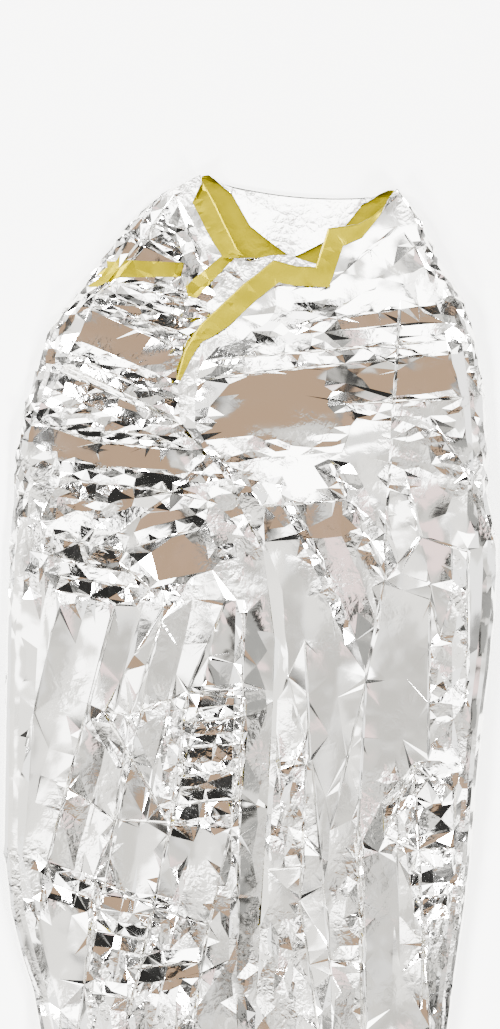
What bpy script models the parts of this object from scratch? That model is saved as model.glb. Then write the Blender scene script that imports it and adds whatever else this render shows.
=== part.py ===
"""Emergency foil blanket, wrapped shut as it is worn and laid on its back.

One sheet of two-sided film. Its path, from the hidden end, is: inner return, inner turn, left flap,
left side, back, right side, right flap. Metres, +Z up, +Y towards the collar, back flat on z = 0.
"""

import math

import bpy
import numpy as np

MM = 0.001
NODE = "foil_blanket"

# Sheet and layers, in millimetres
SHEET_T = 1.2
BACK_Z = SHEET_T / 2
RETURN_Z = 5.0
TURN_Z = 9.0
LEFT_FLAP_Z = 13.0
RIGHT_FLAP_Z = 19.0
MOST_RELIEF = 28.0
FOLD_END = 14.0

# Plan of the wrapped blanket, in millimetres: across from a line at its left, down from a line above it
PLAN_CENTRE_ACROSS = 249.97
PLAN_CENTRE_DOWN = 812.73
COLLAR_LEFT_DOWN = 178.0
COLLAR_RIGHT_DOWN = 196.0
COLLAR_DIP = 10.0
INNER_FOLD_INSET = 36.0
INNER_TURN_INSET = 48.0
HEM_LEFT_DOWN = 1450.0
HEM_RIGHT_DOWN = 1452.0
HEM_INNER_DOWN = 1438.0
HEM_OPENING_DOWN = 1444.0
HEM_WAVE = 3.0
SIDE_ROLL = 15.0
COLLAR_ROLL = 4.0
ROLL_GROWS_OVER = 70.0
SMALL_ROLL = 3.0

# Rows and columns of the sheet
ROWS = 52
FIRST_ROW_SHARE = 0.45
SIDE_STEPS = 5
SMALL_STEPS = 3

# Turned margin along the top edge
TURN_RADIUS = 1.6
TURN_STEPS = 3
TURNED = math.radians(178.0)
LEAST_MARGIN = 3.0
RELIEF_STARTS = 24.0
RELIEF_GROWS_OVER = 28.0
UNDER_FLAP_FADE = 34.0

# down, across
LEFT_EDGE = (
    (178, 190), (185, 174), (196, 158), (211, 142), (231, 122), (263, 99), (291, 79), (328, 50),
    (374, 34), (417, 21), (460, 15), (520, 12), (620, 6), (724, 4), (846, 2), (912, 9),
    (959, 21), (990, 31), (1029, 39), (1150, 50), (1300, 56), (1454, 60),
)
# down, across
RIGHT_EDGE = (
    (196, 405), (213, 419), (242, 432), (266, 443), (300, 464), (339, 476), (391, 484), (451, 488),
    (494, 488), (537, 497), (566, 498), (612, 496), (672, 490), (724, 483), (790, 477), (855, 472),
    (920, 464), (972, 456), (1029, 449), (1150, 441), (1300, 437), (1454, 434),
)
# down, across: the right flap's free edge, from the closure to the hem
OPENING = (
    (380, 178), (420, 180), (435, 191), (469, 220), (492, 233), (524, 250), (549, 263), (593, 269),
    (640, 275), (700, 273), (800, 268), (900, 262), (1029, 255), (1454, 246),
)
# across, down, margin width, share of a full turn outwards: the left flap's top edge
LEFT_TOP = (
    (190, 178, 3, 0.0), (197, 185, 10, 0.6), (203, 192, 18, 1.0), (211, 207, 18, 1.0),
    (218, 222, 18, 1.0), (225, 236, 17, 1.0), (232, 250, 15, 1.0), (241, 262, 4, 0.5),
    (250, 262, 3, 0.0), (260, 260, 3, 0.0), (276, 260, 3, 0.0), (288, 264, 3, 0.0),
    (300, 268, 3, 0.0), (320, 274, 3, 0.0), (350, 278, 3, 0.0), (380, 278, 3, 0.0),
    (410, 278, 3, 0.0),
)
# across, down, margin width, share of a full turn outwards: the right flap's top edge
RIGHT_TOP = (
    (405, 196, 3, 0.0), (395, 204, 3, 0.4), (385, 212, 3, 0.8), (373, 220, 6, 1.0),
    (362, 226, 12, 1.0), (347, 228, 17, 1.0), (332, 230, 18, 1.0), (326, 249, 18, 1.0),
    (319, 269, 18, 1.0), (298, 268, 18, 1.0), (276, 262, 19, 1.0), (261, 274, 19, 1.0),
    (245, 286, 19, 1.0), (231, 299, 19, 1.0), (217, 312, 19, 1.0), (203, 325, 16, 1.0),
    (194, 338, 9, 1.0), (186, 352, 8, 1.0), (178, 380, 3, 1.0),
)
# share across the back, margin width, share of a full turn inwards: the back's top edge
BACK_TOP = (
    (0.00, 3, 0.0), (0.06, 3, 0.15), (0.10, 3, 0.45), (0.14, 3, 0.8), (0.19, 6, 1.0),
    (0.30, 34, 1.0), (0.50, 60, 1.0), (0.70, 34, 1.0), (0.81, 6, 1.0), (0.86, 3, 0.8),
    (0.90, 3, 0.45), (0.94, 3, 0.15), (1.00, 3, 0.0),
)
# from across, from down, to across, to down, height, width of the face above the crest, width of the face
# below it (right and left of a crest that runs down): folds of the left flap
LEFT_FOLDS = (
    (112, 231, 180, 262, 7, 8, 24), (138, 210, 180, 248, 6, 8, 13), (174, 194, 200, 262, 5, 9, 12),
    (118, 283, 186, 300, 4, 8, 11), (96, 294, 182, 318, 7, 13, 13), (72, 300, 174, 346, 11, 14, 40),
    (56, 350, 178, 402, 7, 18, 14), (60, 371, 180, 424, 9, 6, 20), (28, 418, 100, 443, 7, 12, 22),
    (100, 443, 192, 450, 7, 12, 22), (60, 478, 172, 492, 9, 17, 19), (88, 556, 172, 494, 10, 16, 36),
    (138, 546, 200, 528, 11, 14, 44), (52, 536, 126, 552, 9, 16, 20), (58, 575, 128, 587, 8, 13, 15),
    (120, 562, 150, 590, 5, 12, 14), (244, 600, 237, 960, 10, 300, 8), (183, 722, 246, 716, 7, 12, 16),
    (181, 748, 244, 742, 7, 12, 16), (178, 776, 242, 770, 7, 12, 16), (176, 804, 240, 798, 7, 12, 16),
    (52, 884, 92, 898, 7, 12, 15), (92, 930, 150, 940, 7, 12, 16), (126, 968, 200, 962, 7, 14, 16),
    (92, 992, 128, 998, 6, 12, 14), (114, 606, 47, 863, 2.5, 28, 26), (162, 612, 84, 985, 2.5, 28, 26),
    (222, 606, 128, 1015, 3, 26, 30), (60, 1010, 78, 1440, 9, 26, 30),
    (110, 1010, 128, 1440, 10, 30, 24), (176, 1000, 186, 1440, 9, 26, 32), (106, 712, 160, 808, 4.3, 14, 18),
    (188, 693, 244, 689, 4, 6, 15), (98, 893, 172, 905, 4, 6, 15),
)
# the same columns: folds of the right flap
RIGHT_FOLDS = (
    (240, 290, 310, 284, 4, 8, 18), (318, 292, 398, 226, 4, 20, 26), (404, 232, 446, 300, 5, 18, 26),
    (296, 325, 459, 300, 9, 34, 30), (204, 361, 446, 341, 3, 14, 20), (198, 379, 345, 364, 16, 52, 62),
    (345, 364, 462, 352, 10, 34, 38), (262, 506, 345, 500, 9, 48, 36), (328, 459, 386, 580, 4, 16, 16),
    (292, 500, 356, 640, 5, 26, 12), (430, 416, 482, 498, 4, 14, 18), (404, 470, 440, 640, 3, 28, 28),
    (467, 548, 469, 830, 5, 12, 16), (305, 640, 310, 760, 3, 30, 30), (312, 760, 334, 1010, 3, 34, 36),
    (366, 676, 356, 860, 3, 40, 34), (358, 860, 362, 1030, 3, 40, 30), (386, 806, 418, 768, 6, 6, 14),
    (412, 782, 462, 772, 7, 12, 16), (410, 808, 464, 800, 7, 12, 15), (406, 836, 462, 828, 7, 12, 16),
    (408, 872, 456, 866, 8, 18, 18), (412, 898, 450, 894, 7, 12, 16), (424, 926, 420, 1010, 4, 30, 30),
    (322, 1010, 312, 1440, 10, 30, 28), (392, 1030, 384, 1440, 10, 28, 34),
)

FILM_COLOUR = (0.78, 0.78, 0.76, 1.0)
FILM_ROUGHNESS = 0.18


def clear_scene():
    """Remove everything that the file starts with."""
    for thing in list(bpy.data.objects):
        bpy.data.objects.remove(thing, do_unlink=True)


def across_at(table, down):
    """Across at these downs, from a table of down and across."""
    rows = np.array(table, float)
    return np.interp(down, rows[:, 0], rows[:, 1])


def row_shares():
    """Share of the way from the top edge to the hem, for each row: closer near the collar."""
    even = np.linspace(0.0, 1.0, ROWS)
    return even * (FIRST_ROW_SHARE + (1.0 - FIRST_ROW_SHARE) * even)


def distance_to_line(points, line):
    """Distance in plan from each point to a line of joined points."""
    nearest = np.full(points.shape[:-1], np.inf)
    for start, end in zip(line[:-1], line[1:]):
        along = end - start
        share = np.clip(((points - start) @ along) / (along @ along), 0.0, 1.0)
        foot = start + share[..., None] * along
        nearest = np.minimum(nearest, np.linalg.norm(points - foot, axis=-1))
    return nearest


def relief(across, down, folds):
    """Height of the straight folds at these places: two flat faces each, and tapered ends."""
    total = np.zeros_like(across)
    for x0, y0, x1, y1, height, width_above, width_below in folds:
        length = math.hypot(x1 - x0, y1 - y0)
        along = ((across - x0) * (x1 - x0) + (down - y0) * (y1 - y0)) / length**2
        aside = ((across - x0) * (y1 - y0) - (down - y0) * (x1 - x0)) / length
        width = np.where(aside >= 0.0, width_above, width_below)
        ends = np.clip(np.minimum(along, 1.0 - along) * length / FOLD_END + 0.5, 0.0, 1.0)
        total += height * ends * np.clip(1.0 - np.abs(aside) / width, 0.0, 1.0)
    return MOST_RELIEF * np.tanh(total / MOST_RELIEF)


def roll_size(down, start):
    """Half width of the rolled side: small at the collar, full size lower down."""
    grown = np.clip((down - start) / ROLL_GROWS_OVER, 0.0, 1.0)
    return COLLAR_ROLL + (SIDE_ROLL - COLLAR_ROLL) * grown


def hem_wave(across):
    return HEM_WAVE * np.sin(across / 37.0) * np.sin(across / 90.0)


def flap_grid(table, start_edge, end_edge, hem_from, hem_to, shares):
    """Plan places of a flap: rows down, columns at the table's places along its top edge."""
    top = np.array(table, float)
    place = (top[:, 0] - top[0, 0]) / (top[-1, 0] - top[0, 0])
    hem = hem_from + (hem_to - hem_from) * place
    down = top[None, :, 1] + (hem - top[:, 1])[None, :] * shares[:, None]
    begins = start_edge(down[:, 0])
    ends = end_edge(down[:, -1])
    across = begins[:, None] + (ends - begins)[:, None] * place[None, :]
    wave = hem_wave(across) * shares[:, None] ** 4 * np.sin(math.pi * place)[None, :]
    return across, down + wave


def margin_of(table):
    """Margin width and turn, for each column of a flap's top edge."""
    rows = np.array(table, float)
    return rows[:, 2], rows[:, 3] * TURNED


def half_round(from_points, to_points, reach, steps):
    """Columns of a rolled side between two layers, reaching this far out across."""
    columns = []
    for step in range(1, steps):
        angle = math.pi * step / steps
        share = (1.0 - math.cos(angle)) / 2.0
        column = from_points + (to_points - from_points) * share
        column[:, 0] += reach * math.sin(angle)
        columns.append(column)
    return np.stack(columns, axis=1)


def stack(across, down, height):
    return np.stack([across, down, height], axis=-1)


def left_flap(shares):
    """The left flap, which lies under the right one, from its left side to its inner fold."""
    across, down = flap_grid(
        LEFT_TOP,
        lambda y: across_at(LEFT_EDGE, y) + roll_size(y, COLLAR_LEFT_DOWN),
        lambda y: across_at(RIGHT_EDGE, y) - INNER_FOLD_INSET,
        HEM_LEFT_DOWN,
        HEM_INNER_DOWN,
        shares,
    )
    line = np.array(LEFT_TOP, float)[:, :2]
    from_edge = distance_to_line(np.stack([across, down], axis=-1), line)
    grows = np.clip((from_edge - RELIEF_STARTS) / RELIEF_GROWS_OVER, 0.0, 1.0)
    covered = [(row[1], row[0]) for row in RIGHT_TOP[10:]] + list(OPENING[1:])
    shows = np.clip((across_at(covered, down) - across) / UNDER_FLAP_FADE - 0.3, 0.0, 1.0)
    height = LEFT_FLAP_Z + relief(across, down, LEFT_FOLDS) * grows * shows
    return stack(across, down, height)


def right_flap(shares):
    """The right flap, which lies on top, from its right side to its free edge."""
    across, down = flap_grid(
        RIGHT_TOP,
        lambda y: across_at(RIGHT_EDGE, y) - roll_size(y, COLLAR_RIGHT_DOWN),
        lambda y: across_at(OPENING, y),
        HEM_RIGHT_DOWN,
        HEM_OPENING_DOWN,
        shares,
    )
    line = np.array(RIGHT_TOP, float)[:, :2]
    from_edge = distance_to_line(np.stack([across, down], axis=-1), line)
    grows = np.clip((from_edge - RELIEF_STARTS) / RELIEF_GROWS_OVER, 0.0, 1.0)
    height = RIGHT_FLAP_Z + relief(across, down, RIGHT_FOLDS) * grows
    return stack(across, down, height)


def back(shares, left_side, right_side):
    """The back, flat on the ground, between the two rolled sides."""
    place = np.array([row[0] for row in BACK_TOP])
    dip = COLLAR_DIP * np.sin(math.pi * place)
    across = left_side[:, :1] + (right_side[:, :1] - left_side[:, :1]) * place[None, :]
    down = left_side[:, 1:2] + (right_side[:, 1:2] - left_side[:, 1:2]) * place[None, :]
    down = down + dip[None, :] * (1.0 - shares[:, None])
    return stack(across, down, np.full_like(across, BACK_Z))


def inner_layer(from_across, to_across, down, height, columns):
    """A hidden flat layer between two edges."""
    place = np.linspace(0.0, 1.0, columns)
    across = from_across[:, None] + (to_across - from_across)[:, None] * place[None, :]
    downs = np.repeat(down[:, None], columns, axis=1)
    return stack(across, downs, np.full_like(across, height))


def blanket_grid():
    """Middle surface below the top edge, with each column's margin width and turn."""
    shares = row_shares()
    flap = left_flap(shares)[:, ::-1]
    cover = right_flap(shares)
    ground = np.full(ROWS, BACK_Z)
    left_side = stack(flap[:, -1, 0], flap[:, -1, 1], ground)
    right_side = stack(cover[:, 0, 0], cover[:, 0, 1], ground)
    rear = back(shares, left_side, right_side)
    fold_across = flap[:, 0, 0]
    fold_down = flap[:, 0, 1]
    turn_across = across_at(LEFT_EDGE, fold_down) + INNER_TURN_INSET
    inner_return = inner_layer(fold_across - 2 * SMALL_ROLL, turn_across, fold_down, RETURN_Z, 4)
    inner_turn = inner_layer(turn_across, fold_across, fold_down, TURN_Z, 4)
    first = half_round(inner_return[:, -1], inner_turn[:, 0], -SMALL_ROLL, SMALL_STEPS)
    second = half_round(inner_turn[:, -1], flap[:, 0], SMALL_ROLL, SMALL_STEPS)
    left_reach = -roll_size(left_side[:, 1], COLLAR_LEFT_DOWN)
    right_reach = roll_size(right_side[:, 1], COLLAR_RIGHT_DOWN)
    left = half_round(flap[:, -1], rear[:, 0], left_reach, SIDE_STEPS)
    right = half_round(rear[:, -1], cover[:, 0], right_reach, SIDE_STEPS)
    grid = np.concatenate(
        [inner_return, first, inner_turn, second, flap, left, rear, right, cover], axis=1
    )
    flap_margin, flap_turn = margin_of(LEFT_TOP)
    cover_margin, cover_turn = margin_of(RIGHT_TOP)
    rear_margin = np.array([row[1] for row in BACK_TOP], float)
    rear_turn = -np.array([row[2] for row in BACK_TOP]) * TURNED
    plain = inner_return.shape[1] + first.shape[1] + inner_turn.shape[1] + second.shape[1]
    side = left.shape[1]
    margin = np.concatenate([
        np.full(plain, LEAST_MARGIN), flap_margin[::-1], np.full(side, LEAST_MARGIN),
        rear_margin, np.full(side, LEAST_MARGIN), cover_margin,
    ])
    turn = np.concatenate([
        np.zeros(plain), flap_turn[::-1], np.zeros(side), rear_turn, np.zeros(side), cover_turn,
    ])
    return grid, margin, turn


def to_room(grid):
    """Plan millimetres to room millimetres, with +Y towards the collar."""
    room = grid.copy()
    room[..., 0] = grid[..., 0] - PLAN_CENTRE_ACROSS
    room[..., 1] = PLAN_CENTRE_DOWN - grid[..., 1]
    return room


def unit(vectors):
    return vectors / np.linalg.norm(vectors, axis=-1, keepdims=True)


def turned_margin(room, margin, turn):
    """Rows above the top edge: bent round a small radius, then straight for the margin's width.

    Where the margin isn't turned it runs straight on, in line with its column.
    """
    edge = room[0]
    downward = unit(room[1] - room[0])
    along = unit(edge[1:] - edge[:-1])
    face = unit(np.cross(along, downward[:-1] + downward[1:]))
    off = np.cross(along, face)
    first = np.vstack([off[:1], off])
    second = np.vstack([off, off[-1:]])
    mitre = (first + second) / (1.0 + np.sum(first * second, axis=1, keepdims=True))
    mitre[turn == 0.0] = -downward[turn == 0.0]
    normal = unit(np.vstack([face[:1], face]) + np.vstack([face, face[-1:]]))
    rows = []
    place = edge
    step = TURN_RADIUS * math.pi / TURN_STEPS
    for index in range(TURN_STEPS):
        heading = (turn * (index + 0.5) / TURN_STEPS)[:, None]
        place = place + step * (mitre * np.cos(heading) + normal * np.sin(heading))
        rows.append(place)
    heading = turn[:, None]
    rows.append(place + margin[:, None] * (mitre * np.cos(heading) + normal * np.sin(heading)))
    return np.concatenate([np.stack(rows[::-1]), room])


def grid_normals(room):
    """Unit normal at each place of the grid, from the faces round it."""
    normals = np.zeros_like(room)
    right = room[:-1, 1:] - room[:-1, :-1]
    lower = room[1:, :-1] - room[:-1, :-1]
    left = room[1:, :-1] - room[1:, 1:]
    upper = room[:-1, 1:] - room[1:, 1:]
    near = np.cross(right, lower)
    far = np.cross(left, upper)
    for rows, columns in ((slice(0, -1), slice(0, -1)), (slice(0, -1), slice(1, None)),
                          (slice(1, None), slice(0, -1)), (slice(1, None), slice(1, None))):
        normals[rows, columns] += unit(near + far)
    return unit(normals)


def thick_sheet(room):
    """Vertices and faces of the closed sheet round a middle surface.

    Each cell is creased along the diagonal that runs more nearly level, so that creases follow the folds.
    """
    rows, columns = room.shape[:2]
    offset = grid_normals(room) * SHEET_T / 2
    points = np.concatenate([(room + offset).reshape(-1, 3), (room - offset).reshape(-1, 3)])
    points[:, 2] = np.maximum(points[:, 2], 0.0)
    under = rows * columns
    index = np.arange(under).reshape(rows, columns)
    height = room[..., 2].ravel()
    faces = []
    for row in range(rows - 1):
        for column in range(columns - 1):
            a, b = index[row, column], index[row, column + 1]
            c, d = index[row + 1, column + 1], index[row + 1, column]
            halves = ((a, b, c), (a, c, d))
            if abs(height[a] - height[c]) > abs(height[b] - height[d]):
                halves = ((a, b, d), (b, c, d))
            for first, second, third in halves:
                faces.append((first, second, third))
                faces.append((first + under, third + under, second + under))
    rim = list(index[0, :]) + list(index[1:, -1]) + list(index[-1, -2::-1]) + list(index[-2:0:-1, 0])
    for a, b in zip(rim, rim[1:] + rim[:1]):
        faces.append((b, a, a + under, b + under))
    return points * MM, [tuple(int(corner) for corner in face) for face in faces]


def film_material():
    material = bpy.data.materials.new("metallised_film")
    material.use_nodes = True
    shader = material.node_tree.nodes["Principled BSDF"]
    shader.inputs["Base Color"].default_value = FILM_COLOUR
    shader.inputs["Metallic"].default_value = 1.0
    shader.inputs["Roughness"].default_value = FILM_ROUGHNESS
    return material


def build_blanket():
    """The whole blanket as one closed sheet."""
    grid, margin, turn = blanket_grid()
    room = turned_margin(to_room(grid), margin, turn)
    points, faces = thick_sheet(room)
    mesh = bpy.data.meshes.new(NODE)
    mesh.from_pydata([tuple(point) for point in points], [], faces)
    mesh.validate()
    mesh.update()
    blanket = bpy.data.objects.new(NODE, mesh)
    mesh.materials.append(film_material())
    bpy.context.scene.collection.objects.link(blanket)
    return blanket


clear_scene()
build_blanket()
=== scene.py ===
"""Looks of the emergency foil blanket: one crumpled sheet of two-sided film, wrapped shut.

It lies on its back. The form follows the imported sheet: inner return, inner turn, left flap, left
side, back, right side and right flap. Its two flaps are cut into flat facets that meet in sharp
creases, as stiff film crumples.
"""

import logging
import math
from collections.abc import Callable
from dataclasses import dataclass, field
from enum import Enum, IntEnum

import bpy
import numpy as np
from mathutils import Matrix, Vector
from mathutils.geometry import delaunay_2d_cdt

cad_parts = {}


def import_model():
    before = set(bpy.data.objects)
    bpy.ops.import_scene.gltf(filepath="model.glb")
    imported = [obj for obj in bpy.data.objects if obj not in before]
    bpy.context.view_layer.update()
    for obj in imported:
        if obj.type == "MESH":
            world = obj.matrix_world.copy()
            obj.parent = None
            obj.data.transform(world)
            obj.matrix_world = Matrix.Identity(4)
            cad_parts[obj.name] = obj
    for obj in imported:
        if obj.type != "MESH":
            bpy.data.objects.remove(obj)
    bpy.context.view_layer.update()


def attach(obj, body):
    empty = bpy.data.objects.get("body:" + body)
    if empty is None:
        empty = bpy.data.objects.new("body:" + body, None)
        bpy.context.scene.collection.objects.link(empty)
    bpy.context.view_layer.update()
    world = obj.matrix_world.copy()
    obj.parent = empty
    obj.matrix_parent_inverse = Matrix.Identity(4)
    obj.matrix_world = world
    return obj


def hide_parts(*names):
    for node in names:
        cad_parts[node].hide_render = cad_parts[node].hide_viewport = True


logging.basicConfig(level=logging.INFO, format="%(message)s")
LOG = logging.getLogger("foil_blanket")

MM = 0.001
NODE = "foil_blanket"
PHOTO_WIDTH = 500
PHOTO_HEIGHT = 1029

Table = tuple[tuple[float, ...], ...]
Triple = tuple[float, float, float]
Triangle = tuple[int, int, int]


class Layer(Enum):
    """Rest heights of the middle of the sheet's layers above the ground, in millimetres."""

    BACK = 0.3
    INNER_RETURN = 5.0
    INNER_TURN = 9.0
    LEFT_FLAP = 13.0
    RIGHT_FLAP = 19.0


class Part(IntEnum):
    """The sheet's parts in their order, from its hidden edge to its free edge."""

    INNER_RETURN = 0
    LEFT_INNER_ROLL = 1
    INNER_TURN = 2
    RIGHT_INNER_ROLL = 3
    LEFT_FLAP = 4
    LEFT_SIDE = 5
    BACK = 6
    RIGHT_SIDE = 7
    RIGHT_FLAP = 8


class Side(Enum):
    """Material places of the film's two faces."""

    SILVER = 0
    GOLD = 1


@dataclass(frozen=True)
class Plan:
    """Where the wrapped blanket lies, in millimetres across from a left line and down from a top.

    Args:
        centre_across: the room's x = 0.
        centre_down: the room's y = 0.
        collar_left_down: where the left side's roll starts.
        collar_right_down: where the right side's roll starts.
        collar_dip: how far the back's top edge sags between the sides.
        inner_fold_inset: from the right outline to the fold of the hidden layers.
        inner_turn_inset: from the left outline to the turn of the hidden layers.
        hem_left: the hem at the left side.
        hem_right: the hem at the right side.
        hem_inner: the hem at the hidden fold.
        hem_opening: the hem at the right flap's free edge.
        hem_wave: how far the hem waves up and down.
        hem_wave_lengths: lengths of its two waves, as mm for each radian.
        side_roll: half width of a rolled side, full size.
        collar_roll: the same at the collar.
        roll_grows_over: the length over which a roll grows from the collar's size to full size.
        small_roll: half width of the hidden rolls.
        left_edge: rows of down and across, the left outline.
        right_edge: rows of down and across, the right outline.
        opening: rows of down and across, the right flap's free edge.
        left_top: rows of across, down, margin width and share of a full turn outwards.
        right_top: the same for the right flap.
        gold_strips: loops of across and down on the left flap whose top faces are given the gold
        material, as if a margin lay there with its gold face outwards; the film is not turned
        there.
        back_top: rows of share across, margin width and share of a full turn inwards.
    """

    centre_across: float = 249.97
    centre_down: float = 812.73
    collar_left_down: float = 178.0
    collar_right_down: float = 196.0
    collar_dip: float = 10.0
    inner_fold_inset: float = 36.0
    inner_turn_inset: float = 48.0
    hem_left: float = 1450.0
    hem_right: float = 1452.0
    hem_inner: float = 1438.0
    hem_opening: float = 1444.0
    hem_wave: float = 3.0
    hem_wave_lengths: tuple[float, float] = (37.0, 90.0)
    side_roll: float = 15.0
    collar_roll: float = 4.0
    roll_grows_over: float = 70.0
    small_roll: float = 3.0
    left_edge: Table = (
        (178, 190), (185, 174), (196, 158), (211, 142), (231, 122), (263, 99), (291, 79), (328, 50),
        (374, 34), (417, 21), (460, 15), (520, 12), (620, 6), (724, 4), (846, 2), (912, 9),
        (959, 21), (990, 31), (1029, 39), (1150, 50), (1300, 56), (1454, 60),
    )
    right_edge: Table = (
        (196, 405), (213, 419), (242, 432), (266, 443), (300, 464), (339, 476), (391, 484),
        (451, 488), (494, 488), (537, 497), (566, 498), (612, 496), (672, 490), (724, 483),
        (790, 477), (855, 472), (920, 464), (972, 456), (1029, 449), (1150, 441), (1300, 437),
        (1454, 434),
    )
    opening: Table = (
        (380, 178), (420, 180), (435, 191), (469, 220), (492, 233), (524, 250), (549, 263),
        (593, 269), (640, 275), (700, 273), (800, 268), (900, 262), (1029, 255), (1454, 246),
    )
    left_top: Table = (
        (190, 178, 3, 0.0), (197, 185, 10, 0.6), (203, 192, 18, 1.0), (211, 207, 18, 1.0),
        (218, 222, 18, 1.0), (225, 236, 17, 1.0), (232, 250, 15, 1.0), (241, 262, 4, 0.5),
        (250, 262, 3, 0.0), (260, 260, 3, 0.0), (276, 260, 3, 0.0), (288, 264, 3, 0.0),
        (300, 268, 3, 0.0), (320, 274, 3, 0.0), (350, 278, 3, 0.0), (380, 278, 3, 0.0),
        (410, 278, 3, 0.0),
    )
    right_top: Table = (
        (405, 196, 3, 0.0), (395, 204, 3, 0.4), (385, 212, 3, 0.8), (373, 220, 6, 1.0),
        (362, 226, 12, 1.0), (347, 228, 17, 1.0), (332, 230, 18, 1.0), (326, 249, 18, 1.0),
        (319, 269, 18, 1.0), (298, 268, 18, 1.0), (276, 262, 19, 1.0), (261, 274, 19, 1.0),
        (245, 286, 19, 1.0), (231, 299, 19, 1.0), (217, 312, 19, 1.0), (203, 325, 16, 1.0),
        (194, 338, 9, 1.0), (186, 352, 8, 1.0), (178, 380, 3, 1.0),
    )
    gold_strips: tuple[Table, ...] = (
        ((80, 290), (94, 283), (110, 259), (184, 263), (181, 277), (120, 277), (100, 286)),
        ((185, 286), (228, 250), (234, 258), (196, 298), (188, 296)),
        ((196, 330), (187, 340), (176, 370), (178, 378), (188, 358), (199, 338)),
    )
    back_top: Table = (
        (0.00, 3, 0.0), (0.06, 3, 0.15), (0.10, 3, 0.45), (0.14, 3, 0.8), (0.19, 6, 1.0),
        (0.30, 34, 1.0), (0.50, 60, 1.0), (0.70, 34, 1.0), (0.81, 6, 1.0), (0.86, 3, 0.8),
        (0.90, 3, 0.45), (0.94, 3, 0.15), (1.00, 3, 0.0),
    )


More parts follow.
